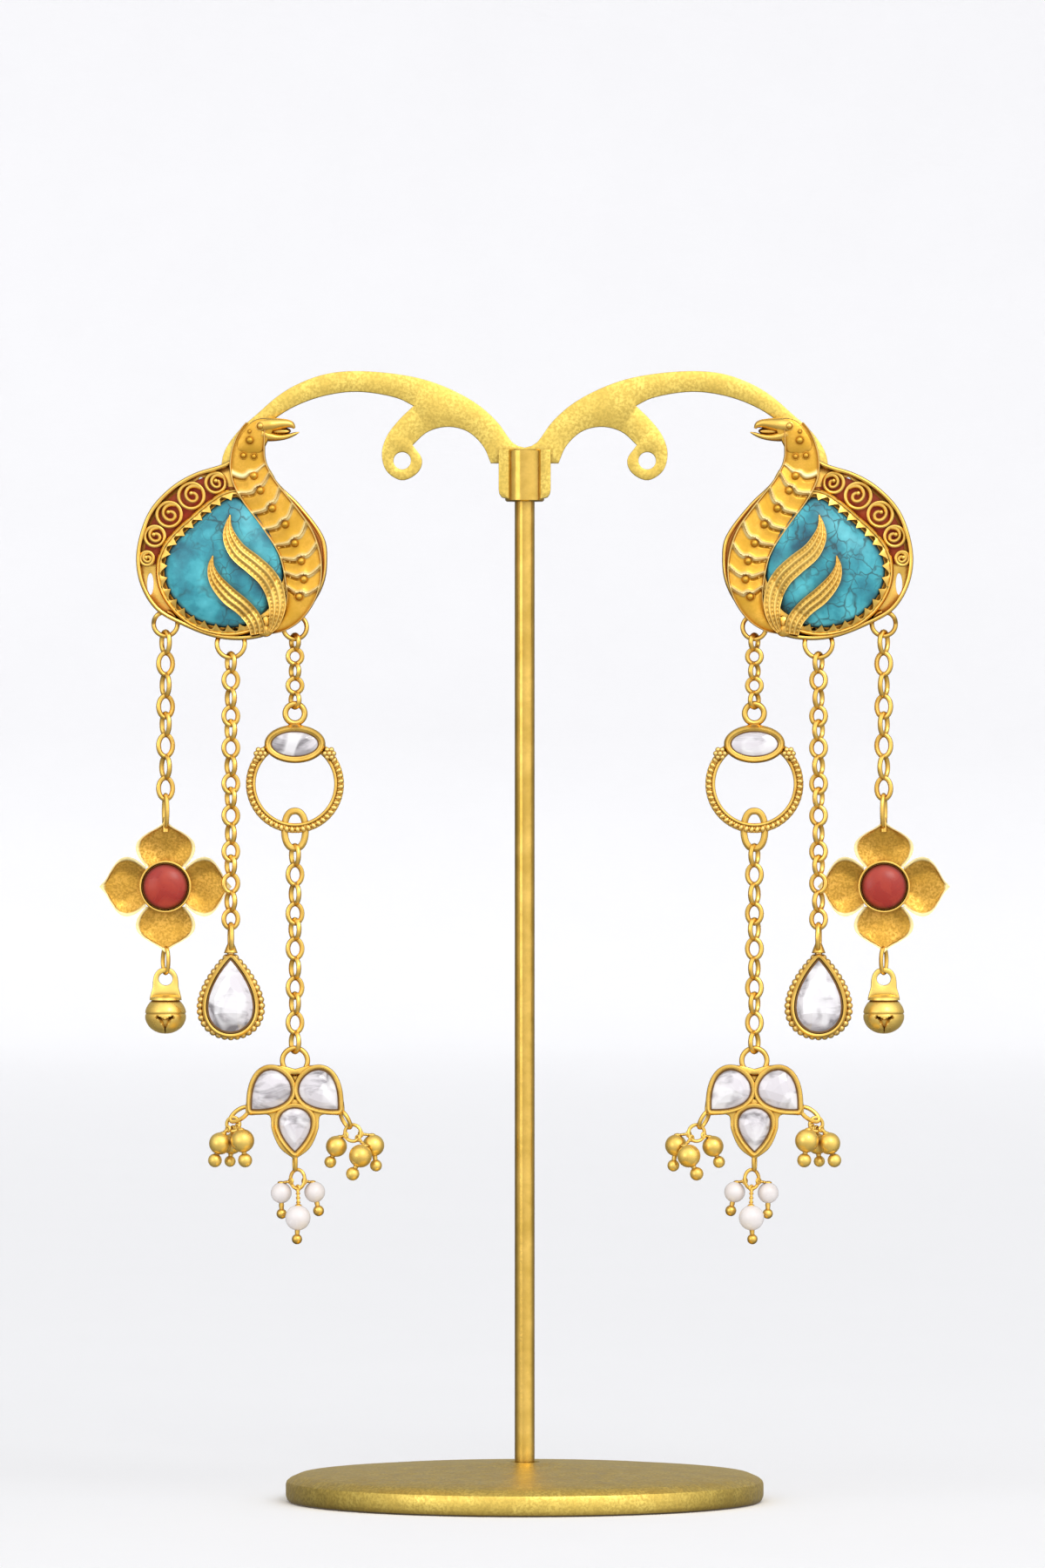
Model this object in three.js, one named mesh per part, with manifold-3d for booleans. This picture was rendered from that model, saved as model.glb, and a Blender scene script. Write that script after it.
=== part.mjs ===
// Pair of peacock drop earrings on a small T-shaped display stand.
// Millimetres, +Z up, the fronts of the earrings face -Y, origin on the floor.
import * as THREE from "three";
import { mergeVertices } from "three/addons/utils/BufferGeometryUtils.js";
import Module from "manifold-3d";

const wasm = await Module();
wasm.setup();

// ---- driving dimensions ----------------------------------------------------
const GAP = 0.3; // play between pieces that only rest in or on each other
const FUSE = 0.16; // how far neighbouring links sink into each other in a stretch

const BASE = { radius: 27.5, height: 4.5, edge: 1.2, socket: 3.0, sides: 20 };
const POST = { radius: 1.15, top: 117.6, sides: 8 };
const COLLAR = { radius: 2.4, halfWidth: 3.0, earDepth: 2.6, bottom: 115, top: 121, sides: 10 };
const ARM = { thickness: 1.2, padX: 31.35, padZ: 116.1, postHole: 0.75 };
const CURL = { x: 14.1, z: 119.7, radius: 1.0 };

const PLATE = { back: -0.9, front: -1.5 }; // back plate of the peacock
const RIM = { front: -2.9, halfWidth: 0.32 };
const BEZEL = { inner: 0.62, outer: 1.25, front: -2.9, toothIn: 0.0, toothFront: -3.5, steps: 18 };
const NECK = { depth: 2.6 };
const STONE = { back: -1.8, girdle: -2.8, shoulder: -4.0, crown: -4.5, top: -4.65 };
const ENAMEL = { back: -1.55, front: -1.85, side: 0.2 };
const SCROLL = { back: -1.95, front: -2.85, halfWidth: 0.27 };
const EAR_POST = { radius: 0.45, length: 4.6, sides: 6 };
const NUT = { radius: 2.0, thickness: 1.4, sides: 8 };

const WIRE = 0.25; // tube radius of the links and small rings
const LINK_WIDTH = 2.2;
const LINK_SIDES = 6;

const LINE = { inner: 26.4, centre: 33.75, outer: 41.3 }; // x of the three chain lines
const PLANE = { inner: -1.9, centre: -2.8, outer: -1.05 }; // y in which each of them hangs

const LOOP = {
  inner: { z: 100.5, radius: 1.35 },
  centre: { z: 98.6, radius: 1.6 },
  outer: { z: 100.9, radius: 1.37 },
};
const HOOP = { z: 82.5, radius: 5.2, wire: 0.5, bailZ: 90.6, bailRadius: 1.2 };
const OVAL = { z: 87.1, halfWidth: 3.5, halfHeight: 2.2, stoneWidth: 2.65, stoneHeight: 1.4 };
const HOOP_RING = { top: 79.8, bottom: 74.7, width: 3.2 };
const PEAR = { top: 63.6, bottom: 53.1, width: 8.5, bailTop: 66.7, bailBottom: 63.0 };
const PEAR_STONE = { top: 62.4, bottom: 54.0, width: 5.8 };
const FLOWER = { z: 70.7, reach: 7.6, petal: 6.4, bezel: 3.2, stone: 2.5, bailTop: 81.5, bailBottom: 77.2 };
const FLOWER_RING = { top: 63.9, bottom: 60.5 };
const BELL = { top: 58.1, bottom: 53.8, radius: 2.35, loopTop: 61.4, loopBottom: 57.6, loopWidth: 3.4 };
const TREFOIL = { ringZ: 50.7, ringRadius: 1.5, depth: 1.6 };

const METAL = { gold: [0xd4a03a, 0.38, 1.0], satin: [0xc7a052, 0.42, 1.0] };
const STUFF = {
  turquoise: [0x3f9fae, 0.35, 0.0],
  enamel: [0x8f2a18, 0.4, 0.0],
  crystal: [0xe6e8ec, 0.08, 0.0],
  coral: [0xc23a2c, 0.3, 0.0],
  pearl: [0xf1e6e2, 0.25, 0.0],
};

// ---- helpers ---------------------------------------------------------------
function material([color, roughness, metalness]) {
  return new THREE.MeshStandardMaterial({ color, roughness, metalness });
}

function solid(geometry) {
  const bare = new THREE.BufferGeometry();
  bare.setAttribute("position", geometry.getAttribute("position"));
  if (geometry.index) bare.setIndex(geometry.index);
  const merged = mergeVertices(bare, 1e-4);
  const corners = [];
  for (let i = 0; i < merged.index.count; i += 3) {
    const [a, b, c] = [0, 1, 2].map((k) => merged.index.getX(i + k));
    if (a !== b && b !== c && c !== a) corners.push(a, b, c);
  }
  return new wasm.Manifold(new wasm.Mesh({
    numProp: 3,
    vertProperties: new Float32Array(merged.getAttribute("position").array),
    triVerts: new Uint32Array(corners),
  }));
}

function join(parts) {
  return parts.reduce((whole, part) => whole.add(part));
}

// Closed solid from a grid of rings: each ring is a list of [x, y, z].
function loft(rings, closed = false) {
  const n = rings[0].length;
  const positions = rings.flat(2);
  const index = [];
  const bands = closed ? rings.length : rings.length - 1;
  for (let r = 0; r < bands; r++) {
    const a = r * n;
    const b = ((r + 1) % rings.length) * n;
    for (let i = 0; i < n; i++) {
      const j = (i + 1) % n;
      index.push(a + i, a + j, b + j, a + i, b + j, b + i);
    }
  }
  if (!closed) {
    const last = (rings.length - 1) * n;
    for (let i = 1; i < n - 1; i++) {
      index.push(0, i + 1, i);
      index.push(last, last + i, last + i + 1);
    }
  }
  const geometry = new THREE.BufferGeometry();
  geometry.setAttribute("position", new THREE.Float32BufferAttribute(positions, 3));
  geometry.setIndex(index);
  return outward(geometry);
}

// Turns the faces outward where the ring order has left them facing in.
function outward(geometry) {
  const p = geometry.getAttribute("position");
  const index = geometry.index.array;
  const corner = (k) => new THREE.Vector3().fromBufferAttribute(p, index[k]);
  let volume = 0;
  for (let i = 0; i < index.length; i += 3) {
    volume += corner(i).dot(corner(i + 1).cross(corner(i + 2)));
  }
  if (volume < 0) {
    for (let i = 0; i < index.length; i += 3) [index[i], index[i + 1]] = [index[i + 1], index[i]];
  }
  return geometry;
}

// A band along a line in the XZ plane. A station is { x, z, half, back, front };
// the profile gives [side, height] pairs from -1..1 and 0..1, and a station may
// have one of its own.
function band(stations, shared) {
  const count = stations.length;
  const rings = stations.map((s, i) => {
    const before = stations[Math.max(i - 1, 0)];
    const after = stations[Math.min(i + 1, count - 1)];
    const run = new THREE.Vector2(after.x - before.x, after.z - before.z).normalize();
    return (s.profile ?? shared).map(([side, height]) => [
      s.x - run.y * side * s.half,
      s.back + (s.front - s.back) * height,
      s.z + run.x * side * s.half,
    ]);
  });
  return solid(loft(rings));
}

const SQUARE = [[-1, 0], [1, 0], [1, 1], [-1, 1]];
const RIDGE = [[-1, 0], [1, 0], [0, 1]];

// Smooth line through a short table of points, cut into `steps` pieces.
function smooth(points, steps, closed = false) {
  const curve = new THREE.CatmullRomCurve3(
    points.map(({ x, z }) => new THREE.Vector3(x, 0, z)), closed, "centripetal");
  const cuts = curve.getSpacedPoints(steps).map(({ x, z }) => ({ x, z }));
  return closed ? cuts.slice(0, -1) : cuts;
}

// The same outline moved outward by a distance (inward when negative).
function grow(outline, distance) {
  const count = outline.length;
  const turn = Math.sign(outline.reduce((sum, p, i) => {
    const q = outline[(i + 1) % count];
    return sum + p.x * q.z - q.x * p.z;
  }, 0));
  return outline.map((p, i) => {
    const a = outline[(i + count - 1) % count];
    const b = outline[(i + 1) % count];
    const run = new THREE.Vector2(b.x - a.x, b.z - a.z).normalize();
    return { x: p.x + run.y * distance * turn, z: p.z - run.x * distance * turn };
  });
}

// Flat plate with the outline in XZ, from y = back to y = front.
function plate(outline, back, front) {
  const shape = new THREE.Shape(outline.map(({ x, z }) => new THREE.Vector2(x, z)));
  const geometry = new THREE.ExtrudeGeometry(shape, { depth: back - front, bevelEnabled: false });
  return solid(geometry.rotateX(Math.PI / 2).translate(0, back, 0));
}

// Outlines with the same number of points, each at its own depth.
function layers(list) {
  return solid(loft(list.map(([outline, y]) => outline.map(({ x, z }) => [x, y, z]))));
}

// Rings of one outline at several depths and scales, closed at both ends.
function stack(outline, centre, layers) {
  return solid(loft(layers.map(({ y, scale }) => outline.map((p) => [
    centre.x + (p.x - centre.x) * scale,
    y,
    centre.z + (p.z - centre.z) * scale,
  ]))));
}

// Cup for a stone: outer wall, lip, inner wall and floor.
function cup(outline, wall, back, front, floor) {
  const inside = grow(outline, -wall);
  return plate(outline, back, front).subtract(plate(inside, floor, front - 1));
}

function rod(radius, length, sides, axis = "z") {
  const geometry = new THREE.CylinderGeometry(radius, radius, length, sides);
  if (axis === "z") geometry.rotateX(Math.PI / 2);
  return geometry;
}

function ball(x, y, z, radius, detail = 0) {
  return solid(new THREE.IcosahedronGeometry(radius, detail).translate(x, y, z));
}

function grain(x, y, z, radius) {
  return solid(new THREE.OctahedronGeometry(radius, 0).translate(x, y, z));
}

// How thick a ring's wire is between its outer flat and its inner ridge.
const CROWN = 1.5 * WIRE;

// Stretched ring with a flat top and bottom and a ridge on the inner side. It
// lies in XZ, or in YZ when turned edge-on to the front.
function ring({ x, y, top, bottom, width, edge = false, sides = LINK_SIDES }) {
  const turns = Array.from({ length: sides }, (_, i) => (2 * Math.PI * (i + (sides % 4 ? 0 : 0.5))) / sides);
  const widest = Math.max(...turns.map(Math.cos));
  const highest = Math.max(...turns.map(Math.sin));
  const middle = (top + bottom) / 2;
  const depth = WIRE * Math.cos(Math.PI / 6);
  const corner = (turn, trim, away) => {
    const along = (Math.cos(turn) / widest) * (width / 2 - trim);
    const up = (Math.sin(turn) / highest) * ((top - bottom) / 2 - trim);
    return edge ? [x + away, y + along, middle + up] : [x + along, y + away, middle + up];
  };
  return solid(loft(turns.map((turn) => [
    corner(turn, 0, depth), corner(turn, 0, -depth), corner(turn, CROWN, 0),
  ]), true));
}

// Links from the inner lower face of one ring to the inner upper face of the
// next, in stretches: links of a stretch are fused, stretches keep the gap.
function chain(x, y, from, to, count, breaks) {
  const fused = count - 1 - breaks.length;
  const inner = (from - to + (2 + breaks.length) * GAP - fused * FUSE) / count;
  const stretches = [[]];
  let centre = from + GAP - inner / 2;
  for (let i = 0; i < count; i++) {
    const reach = inner / 2 + CROWN;
    const link = ring({
      x, y, top: centre + reach, bottom: centre - reach, width: LINK_WIDTH,
      edge: i % 2 === 0, sides: i % 2 ? LINK_SIDES : 4,
    });
    stretches.at(-1).push(link);
    const split = breaks.includes(i + 1);
    if (split) stretches.push([]);
    centre -= split ? inner - GAP : inner + FUSE;
  }
  return stretches.map(join);
}

// Teardrop with its point at `angle` (0 is up), as an outline in XZ.
function teardrop(x, z, halfWidth, round, point, angle, steps) {
  const outline = [];
  for (let i = 0; i < steps; i++) {
    const t = (i / steps) * 2 * Math.PI;
    const taper = Math.pow(Math.sin(t / 2), 0.9);
    const across = halfWidth * Math.sin(t) * taper * 1.16;
    const along = (point - round) / 2 + ((point + round) / 2) * Math.cos(t);
    outline.push({
      x: x + across * Math.cos(angle) + along * Math.sin(angle),
      z: z - across * Math.sin(angle) + along * Math.cos(angle),
    });
  }
  return outline;
}

function ellipse(x, z, halfWidth, halfHeight, steps) {
  return Array.from({ length: steps }, (_, i) => {
    const t = (i / steps) * 2 * Math.PI;
    return { x: x + halfWidth * Math.cos(t), z: z + halfHeight * Math.sin(t) };
  });
}

// ---- display stand ---------------------------------------------------------
const ARM_TOP_EDGE = [
  { x: 0, z: 121.2 }, { x: 1.2, z: 121.6 }, { x: 3.15, z: 124.15 }, { x: 5.45, z: 126.2 },
  { x: 8.95, z: 128.1 }, { x: 12.65, z: 129.3 }, { x: 18.75, z: 130.0 }, { x: 22.75, z: 129.7 },
  { x: 26.15, z: 128.5 }, { x: 28.45, z: 127.1 }, { x: 30.75, z: 125.1 }, { x: 33.05, z: 123.0 },
  { x: 34.75, z: 120.2 }, { x: 34.65, z: 116.1 }, { x: 33.7, z: 113.75 }, { x: 31.35, z: 112.8 },
  { x: 29.0, z: 113.75 }, { x: 28.05, z: 116.1 },
];
const ARM_LOWER_EDGE = [
  { x: 28.05, z: 116.1 }, { x: 29.3, z: 118.7 }, { x: 30.6, z: 119.9 }, { x: 30.8, z: 121.9 }, { x: 28.9, z: 124.4 },
  { x: 24.95, z: 126.6 }, { x: 19.75, z: 127.64 }, { x: 14.65, z: 126.9 }, { x: 12.8, z: 126.0 },
];
const ARM_CURL_EDGE = [
  { x: 12.8, z: 126.0 }, { x: 14.45, z: 124.4 }, { x: 15.85, z: 122.55 }, { x: 16.45, z: 120.5 },
  { x: 15.9, z: 118.5 }, { x: 14.1, z: 117.45 }, { x: 12.25, z: 118.4 }, { x: 11.8, z: 119.8 },
  { x: 12.9, z: 121.5 },
];
const ARM_INNER_EDGE = [
  { x: 12.9, z: 121.5 }, { x: 11.2, z: 123.0 }, { x: 8.95, z: 123.6 }, { x: 6.65, z: 123.1 },
  { x: 4.8, z: 121.4 }, { x: 3.9, z: 119.4 },
];

function standArms() {
  const half = [
    ...smooth(ARM_TOP_EDGE, 15),
    ...smooth(ARM_LOWER_EDGE, 7).slice(1, -1),
    ...smooth(ARM_CURL_EDGE, 8).slice(0, -1),
    ...smooth(ARM_INNER_EDGE, 5),
  ];
  const other = half.slice(1).reverse().map(({ x, z }) => ({ x: -x, z }));
  const front = -ARM.thickness / 2;
  let arms = plate([...half, ...other], -front, front);
  for (const side of [-1, 1]) {
    const eye = ellipse(side * CURL.x, CURL.z, CURL.radius, CURL.radius, 6);
    const hole = ellipse(side * ARM.padX, ARM.padZ, ARM.postHole, ARM.postHole, 6);
    arms = arms.subtract(plate(eye, 2, -2)).subtract(plate(hole, 2, -2));
  }
  return arms;
}

function standBase() {
  const { radius, height, edge, socket, sides } = BASE;
  const turned = new THREE.LatheGeometry([
    new THREE.Vector2(0, 0),
    new THREE.Vector2(radius, 0),
    new THREE.Vector2(radius, height - 1.6 - edge / 2),
    new THREE.Vector2(radius - edge, height - 1.4),
    new THREE.Vector2(0, height),
  ], sides).rotateX(Math.PI / 2);
  const bore = rod(POST.radius + GAP, 2 * socket, POST.sides).translate(0, 0, height);
  return solid(turned).subtract(solid(bore));
}

function standPost() {
  const foot = BASE.height - BASE.socket + GAP;
  const length = POST.top - foot;
  return solid(rod(POST.radius, length, POST.sides).translate(0, 0, foot + length / 2));
}

function standCollar() {
  const { radius, halfWidth, earDepth, bottom, top, sides } = COLLAR;
  const height = top - bottom;
  const sleeve = solid(rod(radius, height, sides).translate(0, 0, bottom + height / 2));
  const ears = plate([
    { x: -halfWidth, z: top }, { x: -halfWidth, z: bottom + 1.4 }, { x: -halfWidth + 1.2, z: bottom + 0.3 },
    { x: halfWidth - 1.2, z: bottom + 0.3 }, { x: halfWidth, z: bottom + 1.4 }, { x: halfWidth, z: top },
  ], earDepth / 2, -earDepth / 2);
  const slot = new THREE.BoxGeometry(4 * halfWidth, ARM.thickness + 2 * GAP, 6);
  slot.translate(0, 0, 119.4 - GAP + 3);
  const bore = rod(POST.radius + GAP, 6, POST.sides).translate(0, 0, POST.top + GAP - 3);
  return sleeve.add(ears).subtract(solid(slot)).subtract(solid(bore));
}

// ---- peacock ---------------------------------------------------------------
const BODY_EDGE = [
  { x: 31.2, z: 121.0 }, { x: 29.6, z: 118.9 }, { x: 28.25, z: 117.0 }, { x: 25.85, z: 114.6 },
  { x: 23.2, z: 110.7 }, { x: 22.9, z: 108.3 }, { x: 23.3, z: 105.8 }, { x: 25.3, z: 102.2 },
  { x: 29.25, z: 99.7 }, { x: 32.15, z: 99.05 }, { x: 35.55, z: 99.3 }, { x: 39.45, z: 100.75 },
  { x: 42.35, z: 102.45 }, { x: 44.05, z: 105.1 }, { x: 44.65, z: 108.3 }, { x: 44.05, z: 111.7 },
  { x: 42.85, z: 114.3 }, { x: 40.45, z: 116.75 }, { x: 37.95, z: 118.2 }, { x: 34.6, z: 119.3 },
];
const STONE_EDGE = [
  { x: 33.15, z: 115.1 }, { x: 37.95, z: 111.9 }, { x: 40.45, z: 109.2 }, { x: 41.05, z: 107.1 },
  { x: 40.45, z: 104.6 }, { x: 37.95, z: 101.9 }, { x: 34.35, z: 100.8 }, { x: 31.6, z: 101.3 },
  { x: 29.3, z: 103.2 }, { x: 28.1, z: 105.6 }, { x: 28.05, z: 108.0 }, { x: 29.05, z: 110.4 },
  { x: 30.75, z: 112.9 },
];
const STONE_CENTRE = { x: 34.3, z: 107.2 };
const NECK_LINE = [
  { x: 31.75, z: 120.8, half: 1.8 }, { x: 31.5, z: 118.2, half: 2.15 }, { x: 29.85, z: 115.6, half: 2.25 },
  { x: 27.75, z: 113.0, half: 2.15 }, { x: 26.05, z: 110.5, half: 2.2 }, { x: 25.4, z: 107.6, half: 2.2 },
  { x: 25.45, z: 104.9, half: 1.95 }, { x: 26.5, z: 102.4, half: 1.35 }, { x: 28.6, z: 100.7, half: 0.7 },
];
const HEAD_LINE = [
  { x: 25.85, z: 122.8, half: 0.12 }, { x: 27.2, z: 123.25, half: 0.45 }, { x: 28.6, z: 123.3, half: 0.9 },
  { x: 30.2, z: 123.1, half: 1.25 }, { x: 31.3, z: 122.3, half: 1.65 },
];
const LOWER_BEAK = [
  { x: 29.2, z: 122.7, half: 0.5 }, { x: 27.4, z: 122.25, half: 0.3 }, { x: 26.4, z: 122.1, half: 0.1 },
];
const RIM_LINE = [
  { x: 34.6, z: 118.9 }, { x: 37.8, z: 117.9 }, { x: 40.25, z: 116.45 }, { x: 42.55, z: 114.1 },
  { x: 43.75, z: 111.6 }, { x: 44.35, z: 108.3 }, { x: 43.75, z: 105.2 }, { x: 42.1, z: 102.7 },
  { x: 39.3, z: 101.05 }, { x: 35.5, z: 99.7 }, { x: 32.2, z: 99.45 }, { x: 29.6, z: 100.1 },
];
const SCROLLS = [
  { x: 35.5, z: 117.15, radius: 1.35 }, { x: 38.3, z: 115.65, radius: 1.6 },
  { x: 40.85, z: 113.45, radius: 1.6 }, { x: 42.6, z: 110.9, radius: 1.3 },
  { x: 43.4, z: 108.4, radius: 0.95 },
];
const PLUMES = [
  [
    { x: 33.75, z: 113.1, half: 0.12 }, { x: 33.95, z: 111.0, half: 0.85 }, { x: 31.4, z: 108.5, half: 1.15 },
    { x: 29.0, z: 105.8, half: 1.1 }, { x: 28.4, z: 103.0, half: 0.9 }, { x: 29.0, z: 100.8, half: 0.6 },
  ],
  [
    { x: 35.9, z: 108.8, half: 0.12 }, { x: 35.9, z: 106.6, half: 0.8 }, { x: 33.6, z: 104.8, half: 1.05 },
    { x: 31.5, z: 102.9, half: 1.0 }, { x: 30.65, z: 100.4, half: 0.8 },
  ],
];
const NECK_PROFILE = [[-1, 0], [1, 0], [1, 1], [0.72, 0.8], [-0.72, 0.8], [-1, 1]];
const HEAD_PROFILE = [[-0.8, 0], [0.8, 0], [1, 0.45], [0.55, 0.95], [-0.55, 0.95], [-1, 0.45]];

// Height of the domed stone over its own outline, for what lies across it.
function domeFront({ x, z }) {
  const outline = smooth(STONE_EDGE, 48, true);
  const away = Math.atan2(z - STONE_CENTRE.z, x - STONE_CENTRE.x);
  const edge = outline.reduce((best, p) => {
    const turn = Math.atan2(p.z - STONE_CENTRE.z, p.x - STONE_CENTRE.x) - away;
    const miss = Math.abs(Math.atan2(Math.sin(turn), Math.cos(turn)));
    return miss < best.miss ? { miss, p } : best;
  }, { miss: Infinity, p: null }).p;
  const far = Math.hypot(edge.x - STONE_CENTRE.x, edge.z - STONE_CENTRE.z);
  const ratio = Math.hypot(x - STONE_CENTRE.x, z - STONE_CENTRE.z) / far;
  if (ratio > 1) return BEZEL.front;
  return STONE.girdle + (STONE.top - STONE.girdle) * Math.sqrt(1 - ratio * ratio);
}

function bezel() {
  const outline = smooth(STONE_EDGE, BEZEL.steps, true);
  const inner = grow(outline, BEZEL.inner);
  const outer = grow(outline, BEZEL.outer);
  const tips = grow(outline, BEZEL.toothIn);
  return solid(loft(outline.map((_, i) => {
    const tooth = i % 2 === 0;
    const lip = tooth ? tips[i] : inner[i];
    return [
      [inner[i].x, PLATE.back, inner[i].z],
      [outer[i].x, PLATE.back, outer[i].z],
      [outer[i].x, BEZEL.front, outer[i].z],
      [lip.x, tooth ? BEZEL.toothFront : BEZEL.front, lip.z],
    ];
  }), true));
}

function scroll({ x, z, radius }) {
  const stations = Array.from({ length: 5 }, (_, i) => {
    const t = i / 4;
    const turn = Math.PI * (0.25 + 1.7 * t);
    const reach = (radius - SCROLL.halfWidth) * (1 - 0.72 * t);
    return {
      x: x + reach * Math.cos(turn),
      z: z + reach * Math.sin(turn),
      half: SCROLL.halfWidth,
      back: SCROLL.back,
      front: SCROLL.front,
    };
  });
  return band(stations, RIDGE);
}

function peacockFrame() {
  const crest = PLATE.back - NECK.depth;
  const throat = [
    ...HEAD_LINE.map((s) => ({ ...s, front: crest - 0.3, profile: HEAD_PROFILE })),
    ...NECK_LINE.map((s) => ({ ...s, front: crest, profile: NECK_PROFILE })),
  ];
  const outline = smooth(BODY_EDGE, 19, true);
  const inside = grow(outline, -2 * RIM.halfWidth);
  const parts = [
    layers([[outline, PLATE.back], [outline, RIM.front], [inside, RIM.front], [inside, PLATE.front]]),
    band(throat.map((s) => ({ ...s, back: PLATE.back - 0.02 }))),
    band(LOWER_BEAK.map((s) => ({ ...s, back: PLATE.back - 0.5, front: crest + 0.5 })), SQUARE),
    bezel(),
    ...SCROLLS.map(scroll),
    ...PLUMES.map((line) => band(line.map((s, i) => {
      const reach = 0.75 * s.half;
      const high = [[0, 0], [reach, 0], [-reach, 0], [0, reach], [0, -reach]]
        .map(([dx, dz]) => domeFront({ x: s.x + dx, z: s.z + dz }));
      const under = Math.min(...high) - GAP - 0.1;
      const root = i === line.length - 1; // soldered to the setting's wall
      return { ...s, back: root ? BEZEL.front + 0.3 : under, front: root ? BEZEL.front - 0.7 : under - 0.55 };
    }), SQUARE)),
    ...NECK_LINE.slice(2, 5).map(({ x, z, half }) => grain(x, crest + 0.35, z, half * 0.3)),
  ];
  for (const name of ["inner", "centre", "outer"]) {
    const { z, radius } = LOOP[name];
    const reach = radius + WIRE;
    parts.push(ring({
      x: LINE[name], y: PLANE[name], top: z + reach, bottom: z - reach, width: 2 * reach,
    }));
  }
  const stem = new THREE.CylinderGeometry(EAR_POST.radius, EAR_POST.radius, EAR_POST.length, EAR_POST.sides);
  parts.push(solid(stem.translate(ARM.padX, PLATE.back - 0.2 + EAR_POST.length / 2, ARM.padZ)));
  const crescent = ellipse(43.0, 105.5, 0.42, 1.3, 8);
  const slit = ellipse(37.2, 117.35, 0.32, 0.42, 6);
  return join(parts).subtract(plate(crescent, 2, -2.2)).subtract(plate(slit, 2, -2.2));
}

function turquoise() {
  return stack(smooth(STONE_EDGE, 12, true), STONE_CENTRE, [
    { y: STONE.back, scale: 1 },
    { y: STONE.girdle, scale: 1 },
    { y: STONE.shoulder, scale: 0.74 },
    { y: STONE.crown, scale: 0.36 },
  ]);
}

function enamel() {
  const outer = smooth(RIM_LINE.slice(0, 6), 6);
  const clear = RIM.halfWidth + ENAMEL.side;
  const far = outer.map((p) => {
    const away = Math.hypot(p.x - STONE_CENTRE.x, p.z - STONE_CENTRE.z);
    return { p, away, trim: clear };
  });
  const edge = grow(smooth(STONE_EDGE, 48, true), BEZEL.outer + ENAMEL.side);
  const near = far.map(({ p }) => edge.reduce((best, q) => {
    const d = Math.hypot(p.x - q.x, p.z - q.z);
    return d < best.d ? { d, q } : best;
  }, { d: Infinity, q: null }).q);
  const trimmed = far.map(({ p, away, trim }) => ({
    x: p.x - ((p.x - STONE_CENTRE.x) / away) * trim,
    z: p.z - ((p.z - STONE_CENTRE.z) / away) * trim,
  }));
  return plate([...trimmed.slice(1), ...near.slice(1).reverse()], ENAMEL.back, ENAMEL.front);
}

function backNut() {
  const { radius, thickness, sides } = NUT;
  const body = new THREE.CylinderGeometry(radius, radius * 0.8, thickness, sides);
  const bore = new THREE.CylinderGeometry(EAR_POST.radius + 0.2, EAR_POST.radius + 0.2, 6, 6);
  const y = ARM.thickness / 2 + GAP + thickness / 2;
  return solid(body.translate(ARM.padX, y, ARM.padZ)).subtract(solid(bore.translate(ARM.padX, y, ARM.padZ)));
}

// ---- drops -----------------------------------------------------------------
function hoopSetting() {
  const x = LINE.inner;
  const y = PLANE.inner;
  const reach = HOOP.bailRadius + WIRE;
  const hoop = new THREE.TorusGeometry(HOOP.radius, HOOP.wire, 3, 12).rotateX(Math.PI / 2);
  const oval = ellipse(x, OVAL.z, OVAL.halfWidth, OVAL.halfHeight, 12);
  const parts = [
    solid(hoop.translate(x, y, HOOP.z)),
    plate(oval, y + 0.9, y - 1.1),
    ring({ x, y, top: HOOP.bailZ + reach, bottom: HOOP.bailZ - reach, width: 2 * reach }),
    ring({ x, y, top: HOOP_RING.top, bottom: HOOP_RING.bottom, width: HOOP_RING.width }),
  ];
  for (const side of [-1, 1]) {
    parts.push(grain(x + side * 4.1, y - 0.4, HOOP.z + 3.7, 0.9));
  }
  return join(parts).subtract(plate(grow(oval, -0.55), y - 0.1, y - 3));
}

function ovalCrystal() {
  const y = PLANE.inner;
  const outline = ellipse(LINE.inner, OVAL.z, OVAL.stoneWidth, OVAL.stoneHeight, 10);
  return stack(outline, { x: LINE.inner, z: OVAL.z }, [
    { y: y - 0.35, scale: 1 }, { y: y - 1.0, scale: 1 }, { y: y - 1.5, scale: 0.6 },
  ]);
}

function dropShape(top, bottom, width, steps) {
  const height = top - bottom;
  const round = width / 2;
  return teardrop(LINE.centre, bottom + round, width / 2, round, height - round, 0, steps);
}

function pearSetting() {
  const x = LINE.centre;
  const y = PLANE.centre;
  const middle = PEAR.bottom + PEAR.width / 2;
  const beaded = dropShape(PEAR.top, PEAR.bottom, PEAR.width, 22).map((p, i) => {
    const far = Math.hypot(p.x - x, p.z - middle);
    const keep = i % 2 ? 1 - 0.35 / far : 1;
    return { x: x + (p.x - x) * keep, z: middle + (p.z - middle) * keep };
  });
  const seat = grow(dropShape(PEAR_STONE.top, PEAR_STONE.bottom, PEAR_STONE.width, 12), 0.2);
  return join([
    plate(beaded, y + 0.85, y - 1.1).subtract(plate(seat, y - 0.2, y - 3)),
    ring({ x, y, top: PEAR.bailTop, bottom: PEAR.bailBottom, width: 2.6, edge: true, sides: 4 }),
  ]);
}

function pearCrystal() {
  const y = PLANE.centre;
  const outline = dropShape(PEAR_STONE.top, PEAR_STONE.bottom, PEAR_STONE.width, 10);
  const centre = { x: LINE.centre, z: PEAR_STONE.bottom + PEAR_STONE.width / 2 };
  return stack(outline, centre, [
    { y: y - 0.5, scale: 1 }, { y: y - 1.2, scale: 1 }, { y: y - 2.0, scale: 0.5 },
  ]);
}

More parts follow.
